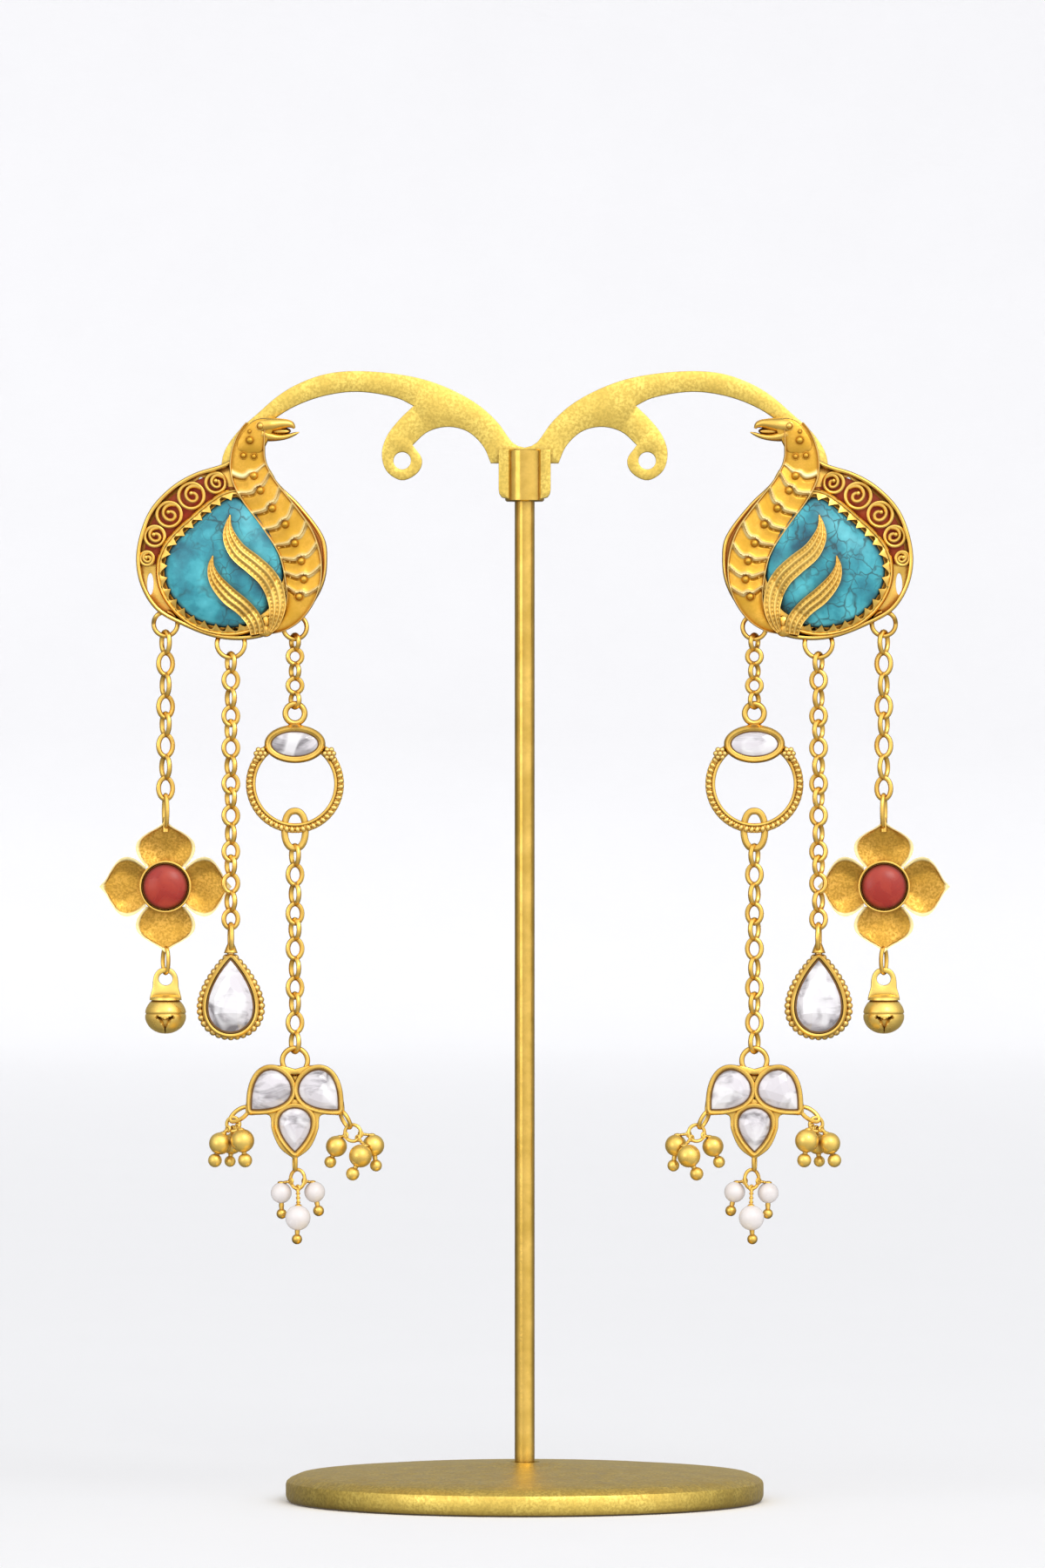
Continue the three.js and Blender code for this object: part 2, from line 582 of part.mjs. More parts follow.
// One dished petal that points along `angle` (0 is up).
function petal(angle) {
  const y = PLANE.outer;
  const half = FLOWER.petal / 2;
  const edge = [
    [0.45, 2.2], [1, 4.3], [0.72, 5.9], [0, FLOWER.reach],
    [-0.72, 5.9], [-1, 4.3], [-0.45, 2.2],
  ].map(([side, out]) => ({
    x: LINE.outer + side * half * Math.cos(angle) + out * Math.sin(angle),
    z: FLOWER.z - side * half * Math.sin(angle) + out * Math.cos(angle),
  }));
  const dish = {
    x: LINE.outer + 4.4 * Math.sin(angle),
    z: FLOWER.z + 4.4 * Math.cos(angle),
  };
  const count = edge.length;
  const positions = [
    ...edge.flatMap((p) => [p.x, y - 0.3, p.z]),
    ...edge.flatMap((p) => [p.x, y + 0.1, p.z]),
    dish.x, y + 0.25, dish.z, dish.x, y + 0.65, dish.z,
  ];
  const index = [];
  for (let i = 0; i < count; i++) {
    const j = (i + 1) % count;
    index.push(2 * count, i, j, 2 * count + 1, count + j, count + i);
    index.push(i, count + i, count + j, i, count + j, j);
  }
  const geometry = new THREE.BufferGeometry();
  geometry.setAttribute("position", new THREE.Float32BufferAttribute(positions, 3));
  geometry.setIndex(index);
  return solid(outward(geometry));
}

function flower() {
  const x = LINE.outer;
  const y = PLANE.outer;
  const seat = ellipse(x, FLOWER.z, FLOWER.bezel, FLOWER.bezel, 12);
  return join([
    ...[0, 1, 2, 3].map((quarter) => petal((quarter * Math.PI) / 2)),
    cup(seat, 0.45, y + 0.75, y - 1.2, y - 0.4),
    ring({ x, y, top: FLOWER.bailTop, bottom: FLOWER.bailBottom, width: 2.2, edge: true, sides: 4 }),
    ring({ x, y, top: FLOWER_RING.top, bottom: FLOWER_RING.bottom, width: 1.9, edge: true, sides: 4 }),
  ]);
}

function coral() {
  const y = PLANE.outer;
  const outline = ellipse(LINE.outer, FLOWER.z, FLOWER.stone, FLOWER.stone, 9);
  return stack(outline, { x: LINE.outer, z: FLOWER.z }, [
    { y: y - 0.65, scale: 1 }, { y: y - 1.15, scale: 1 },
    { y: y - 1.85, scale: 0.7 }, { y: y - 2.15, scale: 0.25 },
  ]);
}

function bell() {
  const { top, bottom, radius, loopTop, loopBottom, loopWidth } = BELL;
  const height = top - bottom;
  const turned = new THREE.LatheGeometry([
    new THREE.Vector2(0, 0),
    new THREE.Vector2(radius * 0.55, height * 0.06),
    new THREE.Vector2(radius, height * 0.42),
    new THREE.Vector2(radius * 0.92, height * 0.7),
    new THREE.Vector2(radius * 0.5, height * 0.97),
    new THREE.Vector2(0, height),
  ], 8).rotateX(Math.PI / 2).translate(LINE.outer, PLANE.outer, bottom);
  const slit = new THREE.BoxGeometry(0.4, 6, 1.4).translate(LINE.outer, PLANE.outer, bottom + 0.3);
  return join([
    solid(turned).subtract(solid(slit)),
    ring({ x: LINE.outer, y: PLANE.outer, top: loopTop, bottom: loopBottom, width: loopWidth }),
  ]);
}

const LOBES = [
  { name: "side", x: 23.75, z: 47.4, width: 2.1, round: 2.0, point: 2.9, angle: -2.36 },
  { name: "inner", x: 29.05, z: 47.4, width: 2.1, round: 2.0, point: 2.9, angle: 2.36 },
  { name: "lower", x: 26.4, z: 43.1, width: 1.8, round: 1.9, point: 2.9, angle: Math.PI },
];

// Right half of the frame's outline, measured from its own centre line.
const TREFOIL_EDGE = [
  { x: 0, z: 49.7 }, { x: 1.6, z: 50.1 }, { x: 3.1, z: 49.95 }, { x: 4.45, z: 48.95 }, { x: 5.2, z: 47.2 },
  { x: 5.55, z: 44.9 }, { x: 5.2, z: 44.5 }, { x: 2.8, z: 44.4 }, { x: 2.6, z: 42.6 }, { x: 1.6, z: 40.65 },
  { x: 0, z: 39.35 },
];
// Small eyes soldered to the frame, which carry the clusters.
const EYES = {
  side: { x: 21.1, top: 45.5, bottom: 43.1, width: 1.9, edge: true },
  inner: { x: 31.7, top: 45.5, bottom: 43.1, width: 1.9, edge: true },
  lower: { x: 26.4, top: 40.3, bottom: 37.9, width: 1.9 },
};

function lobe({ x, z, width, round, point, angle }, extra, steps) {
  return teardrop(x, z, width + extra, round + extra, point + extra * 1.3, angle, steps);
}

function trefoilFrame() {
  const x = LINE.inner;
  const y = PLANE.inner;
  const reach = TREFOIL.ringRadius + WIRE;
  const back = y + TREFOIL.depth / 2;
  const front = y - TREFOIL.depth / 2;
  const half = TREFOIL_EDGE.map((p) => ({ x: x + p.x, z: p.z }));
  const other = TREFOIL_EDGE.slice(1, -1).reverse().map((p) => ({ x: x - p.x, z: p.z }));
  const metal = join([
    plate([...half, ...other], back, front),
    ring({ x, y, top: TREFOIL.ringZ + reach, bottom: TREFOIL.ringZ - reach, width: 2 * reach }),
    ...Object.values(EYES).map((eye) => ring({ ...eye, y, sides: 4 })),
  ]);
  const opening = plate([
    { x: x - 0.42, z: 49.0 }, { x, z: 48.2 }, { x: x + 0.42, z: 49.0 },
  ], back + 1, front - 1);
  const seats = LOBES.map((l) => plate(lobe(l, 0.2, 9), y + 0.1, front - 1));
  return [opening, ...seats].reduce((rest, tool) => rest.subtract(tool), metal);
}

function kundan(which) {
  const y = PLANE.inner;
  const { x, z } = LOBES[which];
  return stack(lobe(LOBES[which], 0, 9), { x, z }, [
    { y: y - 0.15, scale: 1 }, { y: y - 0.75, scale: 1 }, { y: y - 1.15, scale: 0.55 },
  ]);
}

// A cluster hangs from the foot of its eye; its beads are { x, y, z, end }.
const hung = (eye, long) => {
  const top = eye.bottom + 2 * CROWN + GAP;
  return { x: eye.x, top, bottom: top - long, width: 2.1, edge: !eye.edge, sides: 4 };
};
const SIDE_BEADS = {
  eye: hung(EYES.side, 2.2),
  drops: [
    { x: 17.7, y: -1.3, z: 40.9, end: 0.72 }, { x: 19.0, y: -3.1, z: 39.7, end: 0.8 },
    { x: 21.75, y: -1.1, z: 40.7, end: 0.7 },
  ],
};
const INNER_BEADS = {
  eye: hung(EYES.inner, 2.2),
  drops: [
    { x: 31.1, y: -0.9, z: 40.6, end: 0.65 }, { x: 32.6, y: -3.1, z: 40.7, end: 0.82 },
    { x: 35.0, y: -1.4, z: 41.0, end: 0.8 },
  ],
};
const PEARLS = {
  eye: hung(EYES.lower, 2.3),
  drops: [
    { x: 24.4, y: -1.3, z: 35.8, end: 0.6 }, { x: 26.2, y: -2.8, z: 32.7, end: 0.65 },
    { x: 28.1, y: -1.2, z: 35.7, end: 0.6 },
  ],
};

// Beads on pins that meet in one ring, each with a small end bead below it.
function cluster({ eye, drops }, radius) {
  const y = PLANE.inner;
  const parts = [ring({ ...eye, y })];
  for (const [i, { x, y: depth, z, end }] of drops.entries()) {
    const shift = (i - 1) * 0.42;
    const hub = new THREE.Vector3(
      eye.x + (eye.edge ? 0 : shift), y + (eye.edge ? shift : 0), eye.bottom + CROWN / 2);
    const middle = new THREE.Vector3(x, depth, z);
    const pin = new THREE.CylinderGeometry(0.2, 0.2, hub.distanceTo(middle), 3);
    pin.applyQuaternion(new THREE.Quaternion().setFromUnitVectors(
      new THREE.Vector3(0, 1, 0), middle.clone().sub(hub).normalize()));
    const half = hub.clone().add(middle).multiplyScalar(0.5);
    parts.push(solid(pin.translate(half.x, half.y, half.z)));
    parts.push(ball(x, depth, z, radius));
    parts.push(grain(x, depth, z - radius * 0.85 - end * 0.75, end));
  }
  return join(parts);
}

// ---- assembly --------------------------------------------------------------
const group = new THREE.Group();

function place(name, body, look, mirrored = false) {
  const mesh = body.getMesh();
  const positions = Float32Array.from(mesh.vertProperties);
  const index = Uint32Array.from(mesh.triVerts);
  if (mirrored) {
    for (let i = 0; i < positions.length; i += mesh.numProp) positions[i] = -positions[i];
    for (let i = 0; i < index.length; i += 3) [index[i], index[i + 1]] = [index[i + 1], index[i]];
  }
  const geometry = new THREE.BufferGeometry();
  geometry.setAttribute("position", new THREE.BufferAttribute(positions, 3));
  geometry.setIndex(new THREE.BufferAttribute(index, 1));
  geometry.computeVertexNormals();
  const piece = new THREE.Mesh(geometry, material(look));
  piece.name = name;
  group.add(piece);
}

place("stand_base", standBase(), METAL.satin);
place("stand_post", standPost(), METAL.satin);
place("stand_collar", standCollar(), METAL.satin);
place("stand_arms", standArms(), METAL.satin);

const loopFloor = (name) => LOOP[name].z - LOOP[name].radius - WIRE + CROWN;
const ringTop = (z, radius) => z + radius + WIRE - CROWN;

const pieces = [
  ["peacock_frame", peacockFrame(), METAL.gold],
  ["turquoise", turquoise(), STUFF.turquoise],
  ["enamel", enamel(), STUFF.enamel],
  ["back_nut", backNut(), METAL.gold],
  ["hoop_setting", hoopSetting(), METAL.gold],
  ["oval_crystal", ovalCrystal(), STUFF.crystal],
  ["pear_setting", pearSetting(), METAL.gold],
  ["pear_crystal", pearCrystal(), STUFF.crystal],
  ["flower", flower(), METAL.gold],
  ["coral", coral(), STUFF.coral],
  ["bell", bell(), METAL.gold],
  ["trefoil_frame", trefoilFrame(), METAL.gold],
  ["trefoil_stone_side", kundan(0), STUFF.crystal],
  ["trefoil_stone_inner", kundan(1), STUFF.crystal],
  ["trefoil_stone_lower", kundan(2), STUFF.crystal],
  ["gold_beads_side", cluster(SIDE_BEADS, 1.25), METAL.gold],
  ["gold_beads_inner", cluster(INNER_BEADS, 1.25), METAL.gold],
  ["pearl_cluster", cluster(PEARLS, 1.35), STUFF.pearl],
];
const runs = {
  chain_inner_upper: chain(LINE.inner, PLANE.inner, loopFloor("inner"),
    ringTop(HOOP.bailZ, HOOP.bailRadius), 5, []),
  chain_centre: chain(LINE.centre, PLANE.centre, loopFloor("centre"), PEAR.bailTop - CROWN, 16, [4, 8, 12]),
  chain_outer: chain(LINE.outer, PLANE.outer, loopFloor("outer"), FLOWER.bailTop - CROWN, 8, [4]),
  chain_inner_lower: chain(LINE.inner, PLANE.inner, HOOP_RING.bottom + CROWN,
    ringTop(TREFOIL.ringZ, TREFOIL.ringRadius), 11, [4, 8]),
};
for (const [name, stretches] of Object.entries(runs)) {
  stretches.forEach((body, i) => {
    pieces.push([stretches.length > 1 ? `${name}_${i + 1}` : name, body, METAL.gold]);
  });
}
for (const [name, body, look] of pieces) {
  place(`${name}_right`, body, look);
  place(`${name}_left`, body, look, true);
}

export default group;
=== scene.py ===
"""Pair of peacock drop earrings on a T-shaped display stand.

The tables below are in millimetres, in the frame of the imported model: +Z up, the fronts face -Y.
Each piece is modelled for the right earring and mirrored for the left one.
"""
import math
from contextlib import contextmanager

import bmesh
import bpy
from bpy.props import FloatProperty, FloatVectorProperty, IntProperty, PointerProperty
from mathutils import Matrix, Vector


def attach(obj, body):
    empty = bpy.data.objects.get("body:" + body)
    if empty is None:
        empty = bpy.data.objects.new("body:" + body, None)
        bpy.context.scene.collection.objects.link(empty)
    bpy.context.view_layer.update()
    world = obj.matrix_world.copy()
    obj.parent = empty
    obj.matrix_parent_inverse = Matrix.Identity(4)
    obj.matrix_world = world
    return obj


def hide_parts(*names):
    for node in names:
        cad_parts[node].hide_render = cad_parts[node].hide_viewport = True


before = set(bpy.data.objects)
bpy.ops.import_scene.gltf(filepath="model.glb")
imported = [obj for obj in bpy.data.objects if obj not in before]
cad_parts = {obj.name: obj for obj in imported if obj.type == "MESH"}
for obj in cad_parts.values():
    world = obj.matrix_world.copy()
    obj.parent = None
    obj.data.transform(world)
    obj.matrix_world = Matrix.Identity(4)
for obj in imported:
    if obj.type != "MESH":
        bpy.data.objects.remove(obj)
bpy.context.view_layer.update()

bl_info = {
    "name": "Peacock drop earrings",
    "version": (1, 0, 0),
    "blender": (4, 5, 0),
    "location": "3D View > Sidebar > Earrings",
    "description": "A pair of peacock drop earrings and the stand they hang on",
    "category": "Add Mesh",
}

MM = 0.001
NEAR = 1e-5  # corners closer than this are one
CUTS = 12  # points worked out between two points of a table

# ---- stand -----------------------------------------------------------------
BASE_RADIUS, BASE_HEIGHT = 27.5, 4.5
POST_RADIUS, POST_FOOT, POST_TOP = 1.15, 1.8, 117.6
COLLAR_RADIUS, COLLAR_HALF = 2.25, 3.0
COLLAR_BOTTOM, COLLAR_TOP = 115.0, 121.0
ARM_THICKNESS = 1.2
PAD = (31.35, 116.1)
CURL = (14.1, 119.7)
ARM_TOP_EDGE = [
    (0, 121.2), (1.2, 121.6), (3.15, 124.15), (5.45, 126.2), (8.95, 128.1), (12.65, 129.3), (18.75, 130.0),
    (22.75, 129.7), (26.15, 128.5), (28.45, 127.1), (30.75, 125.1), (33.05, 123.0), (34.75, 120.2),
    (34.65, 116.1), (33.7, 113.75), (31.35, 112.8), (29.0, 113.75), (28.05, 116.1),
]
ARM_LOWER_EDGE = [
    (28.05, 116.1), (29.3, 118.7), (30.6, 119.9), (30.8, 121.9), (28.9, 124.4), (24.95, 126.6),
    (19.75, 127.64), (14.65, 126.9), (12.8, 126.0),
]
ARM_CURL_EDGE = [
    (12.8, 126.0), (14.45, 124.4), (15.85, 122.55), (16.45, 120.5), (15.9, 118.5), (14.1, 117.45),
    (12.25, 118.4), (11.8, 119.8), (12.9, 121.5),
]
ARM_INNER_EDGE = [(12.9, 121.5), (11.2, 123.0), (8.95, 123.6), (6.65, 123.1), (4.8, 121.4), (3.9, 119.4)]

# ---- stage, in metres ------------------------------------------------------
FLOOR_RADIUS, SWEEP, WALL_HEIGHT = 2.0, 0.5, 0.8
SKY_COLOUR, SKY_STRENGTH = (0.97, 0.98, 1.0), 1.9
SKY_FADES = (("Z", -0.8, 0.7, 0.34), ("Y", 0.5, -0.7, 0.26), ("X", -1.0, 0.9, 0.7))
MIDDLE = (0.0, 0.0, 0.09)
LAMPS = [
    # name, place, aim, size, power, colour
    ("key", (0.34, -0.72, 0.62), MIDDLE, 0.34, 1.6, (1.0, 0.98, 0.95)),
    ("fill", (-0.62, -0.7, 0.22), MIDDLE, 0.45, 0.7, (0.96, 0.98, 1.0)),
    ("floor", (0.0, 0.9, 1.3), (0.0, 1.2, 0.0), 1.0, 0.3, (1.0, 1.0, 1.0)),
]
CAMERA_PLACE, CAMERA_LENS, CAMERA_HEIGHT = (-0.00025, -1.203, 0.0825), 160.0, 24.0

# ---- chain lines -----------------------------------------------------------
GAP = 0.3  # play between pieces that only rest in or on each other
FUSE = 0.16  # how far neighbouring links of one stretch sink into each other
RING_WIRE = 0.25  # wire radius of the rings and links that the sizes were taken from
CROWN = 1.5 * RING_WIRE  # thickness of a link at its two ends
INNER_X, CENTRE_X, OUTER_X = 26.4, 33.75, 41.3
INNER_Y, CENTRE_Y, OUTER_Y = -1.9, -2.8, -1.05
LOOPS = {
    # name: (x, y, z, radius)
    "inner": (INNER_X, INNER_Y, 100.5, 1.35),
    "centre": (CENTRE_X, CENTRE_Y, 98.6, 1.6),
    "outer": (OUTER_X, OUTER_Y, 100.9, 1.37),
}
HOOP_Z, HOOP_RADIUS = 82.5, 5.2
HOOP_BAIL_Z, HOOP_BAIL_RADIUS = 90.6, 1.2
OVAL_Z, OVAL_HALF_WIDTH, OVAL_HALF_HEIGHT = 87.1, 3.5, 2.2
OVAL_STONE = (2.72, 1.44)
HOOP_RING_TOP, HOOP_RING_BOTTOM, HOOP_RING_WIDTH = 79.8, 74.7, 3.2
PEAR_TOP, PEAR_BOTTOM, PEAR_WIDTH = 63.6, 53.1, 8.5
PEAR_BAIL_TOP, PEAR_BAIL_BOTTOM = 66.7, 63.0
PEAR_STONE_TOP, PEAR_STONE_BOTTOM, PEAR_STONE_WIDTH = 62.4, 54.0, 5.8
FLOWER_Z = 70.7
FLOWER_BAIL_TOP, FLOWER_BAIL_BOTTOM = 81.5, 77.2
FLOWER_RING_TOP, FLOWER_RING_BOTTOM = 63.9, 60.5
BELL_TOP, BELL_BOTTOM, BELL_RADIUS = 58.1, 53.8, 2.35
BELL_LOOP_TOP, BELL_LOOP_BOTTOM = 61.4, 57.6
SLIT_HUB = 1.5  # height of the middle of the slits over the bell's foot
TREFOIL_RING_Z, TREFOIL_RING_RADIUS = 50.7, 1.5

# ---- peacock ---------------------------------------------------------------
PLATE_BACK, PLATE_FRONT = -0.9, -1.5
NECK_BACK, NECK_FRONT, LIP_FRONT = PLATE_BACK - 0.35, -2.95, -3.5
ROW_RIDGE, ROW_GROOVE, ROW_STEP = (0.2, 0.22), (0.14, 0.15), 0.36  # height and half width, distance between
SIDE_WIRE_Y, BEAK_Y, SCROLL_Y = -2.45, -2.45, -2.5
SCROLL_WIRE, LOOP_WIRE, POST_WIRE, PLUME_GRAIN = 0.23, 0.27, 0.45, 0.5
TOOTH = (0.0, 0.12, 1.0, 0.62, 0.24)  # reach of one tooth over five even steps
BODY_EDGE = [
    (31.2, 121.0), (29.6, 118.9), (28.25, 117.0), (25.8, 114.6), (23.0, 110.7), (22.7, 108.3),
    (23.0, 105.8), (24.1, 103.5), (25.4, 102.0), (29.25, 99.7), (32.15, 99.05), (35.55, 99.3),
    (39.45, 100.75), (42.35, 102.45), (44.05, 105.1), (44.65, 108.3), (44.05, 111.7), (42.85, 114.3),
    (40.45, 116.75), (37.95, 118.2), (34.6, 119.3),
]
STONE_EDGE = [
    (33.15, 115.1), (37.95, 111.9), (40.45, 109.2), (41.05, 107.1), (40.45, 104.6), (37.95, 101.9),
    (34.35, 100.8), (31.6, 101.3), (29.3, 103.2), (28.1, 105.6), (28.05, 108.0), (29.05, 110.4),
    (30.75, 112.9),
]
STONE_CENTRE = (34.3, 107.2)
STONE_BACK, STONE_GIRDLE, STONE_TOP = -1.8, -2.8, -4.65
HEAD_BALLS = [
    # x, z, radius
    (31.57, 121.95, 0.46), (31.1, 120.1, 0.3), (32.3, 120.2, 0.34), (31.6, 122.95, 0.2),
]
EYE = (30.35, 123.6)
NECK_LINE = [
    # x, z, half width, from the head down to the tail
    (30.9, 123.6, 1.2), (31.35, 122.4, 1.62), (31.65, 121.2, 1.85), (31.8, 119.9, 2.05),
    (31.6, 118.3, 2.25),
    (30.6, 116.3, 2.3), (29.1, 114.3, 2.32), (27.75, 112.5, 2.38), (26.6, 110.8, 2.42),
    (25.9, 109.2, 2.38), (25.5, 107.2, 2.28), (25.5, 105.2, 2.0), (25.9, 103.4, 1.55),
    (26.7, 101.9, 1.15), (27.9, 100.8, 0.8), (29.2, 100.15, 0.45),
]
NECK_BOSSES = [
    (31.1, 117.9), (30.35, 116.2), (29.0, 114.15), (27.5, 112.3), (26.4, 110.15), (25.65, 108.1),
    (25.35, 106.0), (25.9, 104.0),
]
HEAD_EDGE = [
    (29.45, 122.0), (28.95, 122.9), (28.75, 123.6), (28.9, 124.3), (29.7, 124.45), (30.6, 124.42),
    (31.4, 124.05), (32.15, 123.2), (32.8, 122.3), (33.05, 121.6), (32.9, 120.8), (31.6, 120.3),
    (30.2, 120.6), (29.8, 121.3),
]
UPPER_BEAK = [
    # x, z, half height
    (30.3, 123.6, 0.95), (29.3, 123.72, 0.86), (28.5, 123.82, 0.72), (27.8, 123.88, 0.58),
    (27.2, 123.88, 0.47), (26.75, 123.72, 0.37), (26.42, 123.35, 0.12),
]
LOWER_BEAK = [
    (30.2, 122.7, 0.85), (29.3, 122.42, 0.6), (28.5, 122.3, 0.42), (27.7, 122.34, 0.33), (27.0, 122.5, 0.27),
    (26.35, 122.74, 0.19), (25.9, 122.9, 0.05),
]
RIM_LINE = [(34.6, 118.9), (37.8, 117.9), (40.25, 116.45), (42.55, 114.1), (43.75, 111.6), (44.35, 108.3)]
SCROLLS = [
    # x, z, radius, turn of the opening
    (35.5, 117.1, 1.35, 2.6), (38.3, 115.6, 1.68, 2.5), (40.85, 113.45, 1.62, 2.2),
    (42.5, 110.95, 1.36, 2.0), (43.4, 108.4, 0.98, 1.8),
]
PLUMES = [
    [
        (33.78, 113.37, 0.05), (34.0, 112.2, 0.36), (33.85, 110.9, 0.76), (32.92, 109.2, 1.04),
        (31.03, 107.6, 1.14), (29.65, 106.3, 1.14), (28.85, 105.0, 1.12), (28.45, 103.6, 1.03),
        (28.4, 102.4, 0.88), (28.75, 100.9, 0.6), (29.25, 99.95, 0.28),
    ],
    [
        (35.76, 108.67, 0.05), (35.95, 107.5, 0.36), (35.5, 106.0, 0.74), (34.0, 104.15, 1.0),
        (32.4, 102.85, 0.98), (31.3, 101.65, 0.95), (30.8, 100.6, 0.9), (30.65, 99.7, 0.8),
    ],
]
PETAL_ROOT, PETAL_TIP = 2.3, 7.58
PETAL_HALF = [
    # distance from the flower's centre, half width
    (2.4, 2.3), (2.9, 2.75), (3.4, 3.1), (3.9, 3.32), (4.5, 3.42), (5.1, 3.26), (5.6, 2.86), (6.1, 2.2),
    (6.5, 1.5), (6.85, 0.9), (7.2, 0.45), (7.56, 0.06),
]
LOBES = {
    # name: (x, z, half width, round end, pointed end, turn)
    "side": (23.75, 47.45, 2.36, 2.15, 3.3, -2.36),
    "inner": (29.05, 47.45, 2.36, 2.15, 3.3, 2.36),
    "lower": (26.4, 43.4, 2.06, 1.9, 3.15, math.pi),
}
TREFOIL_EDGE = [
    (0, 49.75), (1.6, 50.15), (3.1, 50.1), (4.5, 49.1), (5.3, 47.3), (5.68, 44.95), (5.45, 44.5),
    (2.95, 44.4), (2.68, 42.8), (1.7, 40.65), (0, 39.35),
]
# Each bunch: the eye that hangs from the frame, the ring in it and the drops on the ring. An eye or ring is
# (x, z, half width, half height, turn, lean), a drop is (x, y, z, radius, (x, z, radius) of its end bead).
CLUSTERS = {
    "gold_beads_side": ((20.6, 43.95, 0.85, 1.3, 1.0, 0.5), (19.75, 42.4, 1.15, 1.15, 0.2, 0.0), [
        (17.4, -1.3, 40.95, 1.26, (17.1, 38.65, 0.7)), (18.85, -3.0, 39.8, 1.33, (19.75, 37.75, 0.78)),
        (21.65, -1.2, 40.85, 1.22, (22.35, 39.05, 0.7)),
    ]),
    "gold_beads_inner": ((32.75, 44.55, 0.85, 1.5, 0.5, -0.95), (33.5, 43.4, 1.0, 1.0, 0.3, 0.0), [
        (33.7, -0.6, 41.1, 1.2, (33.9, 39.1, 0.65)), (32.4, -3.0, 41.55, 1.36, (32.1, 39.3, 0.82)),
        (35.0, -1.9, 41.2, 1.28, (35.6, 39.25, 0.8)),
    ]),
    "pearl_cluster": ((26.4, 39.1, 0.55, 1.2, 1.3, 0.0), (26.1, 37.1, 1.05, 1.3, 0.25, 0.0), [
        (24.15, -1.3, 35.6, 1.2, (23.7, 33.45, 0.64)), (26.05, -2.9, 32.7, 1.45, (26.15, 30.25, 0.6)),
        (28.0, -1.2, 35.5, 1.2, (27.95, 33.1, 0.6)),
    ]),
}


# ---- lines and outlines ----------------------------------------------------
def curve_point(a, b, c, d, t):
    """Point between b and c on the centripetal curve through four points."""
    def knot(p, q):
        return max(math.dist(p, q), 1e-9) ** 0.5

    def mix(p, q, start, end):
        share = (at - start) / (end - start)
        return [u * (1 - share) + v * share for u, v in zip(p, q)]

    t1 = knot(a, b)
    t2 = t1 + knot(b, c)
    t3 = t2 + knot(c, d)
    at = t1 + (t2 - t1) * t
    first, second, third = mix(a, b, 0.0, t1), mix(b, c, t1, t2), mix(c, d, t2, t3)
    return mix(mix(first, second, 0.0, t2), mix(second, third, t1, t3), t1, t2)


def evenly(points, steps, closed=False):
    """The line through these points, cut at equal distances along it."""
    line = list(points) + ([points[0]] if closed else [])
    far = [0.0]
    for p, q in zip(line, line[1:]):
        far.append(far[-1] + math.dist(p[:2], q[:2]))
    cuts, k = [], 0
    for i in range(steps if closed else steps + 1):
        want = far[-1] * i / steps
        while k < len(line) - 2 and far[k + 1] < want:
            k += 1
        share = (want - far[k]) / max(far[k + 1] - far[k], 1e-9)
        cuts.append(tuple(u + (v - u) * share for u, v in zip(line[k], line[k + 1])))
    return cuts


def smooth_line(points, steps, closed=False):
    """Smooth line through a short table of points."""
    points = [tuple(map(float, p)) for p in points]
    count = len(points)
    fine = []
    for i in range(count if closed else count - 1):
        if closed:
            four = [points[(i + k) % count] for k in (-1, 0, 1, 2)]
        else:
            b, c = points[i], points[i + 1]
            a = points[i - 1] if i else tuple(2 * u - v for u, v in zip(b, c))
            d = points[i + 2] if i + 2 < count else tuple(2 * v - u for u, v in zip(b, c))
            four = [a, b, c, d]
        fine += [curve_point(*four, k / CUTS) for k in range(CUTS)]
    if not closed:
        fine.append(points[-1])
    return evenly(fine, steps, closed)


def grown(outline, distance):
    """A closed outline moved outward by a distance, or inward if it is negative."""
    count = len(outline)
    area = sum(p[0] * q[1] - q[0] * p[1] for p, q in zip(outline, outline[1:] + outline[:1]))
    turn = 1 if area > 0 else -1
    moved = []
    for i, p in enumerate(outline):
        a, b = outline[i - 1], outline[(i + 1) % count]
        run = Vector((b[0] - a[0], b[1] - a[1]))
        run = run.normalized() if run.length > 1e-9 else Vector((1, 0))
        moved.append((p[0] + run.y * distance * turn, p[1] - run.x * distance * turn))
    return moved


def full_turn(steps):
    """Angles of even steps round a full turn."""
    return [2 * math.pi * i / steps for i in range(steps)]


def across_steps(count):
    """Even steps from -1 to 1, from one side of a strip to the other."""
    return [-1 + 2 * k / count for k in range(count + 1)]


def oval(x, z, half_width, half_height, steps):
    """Closed oval outline."""
    return [(x + half_width * math.cos(t), z + half_height * math.sin(t)) for t in full_turn(steps)]


def teardrop(x, z, half_width, round_end, point, turn, steps):
    """Outline of a drop whose point looks along `turn`, where 0 is up."""
    outline = []
    for t in full_turn(steps):
        across = half_width * math.sin(t) * abs(math.sin(t / 2)) ** 0.9 * 1.16
        along = (point - round_end) / 2 + (point + round_end) / 2 * math.cos(t)
        outline.append((
            x + across * math.cos(turn) + along * math.sin(turn),
            z - across * math.sin(turn) + along * math.cos(turn),
        ))
    return outline


def drop_shape(top, bottom, width, steps):
    """Outline of the pear drop or its stone, point up."""
    middle = width / 2
    return teardrop(CENTRE_X, bottom + middle, middle, middle, top - bottom - middle, 0, steps)


def stations(line):
    """Each point of an open line with the unit direction to its side and the way run so far."""
    way, made = 0.0, []
    for i, p in enumerate(line):
        a, b = line[max(i - 1, 0)], line[min(i + 1, len(line) - 1)]
        run = Vector((b[0] - a[0], b[1] - a[1])).normalized()
        if i:
            way += math.dist(p[:2], line[i - 1][:2])
        made.append((p, (-run.y, run.x), way))
    return made


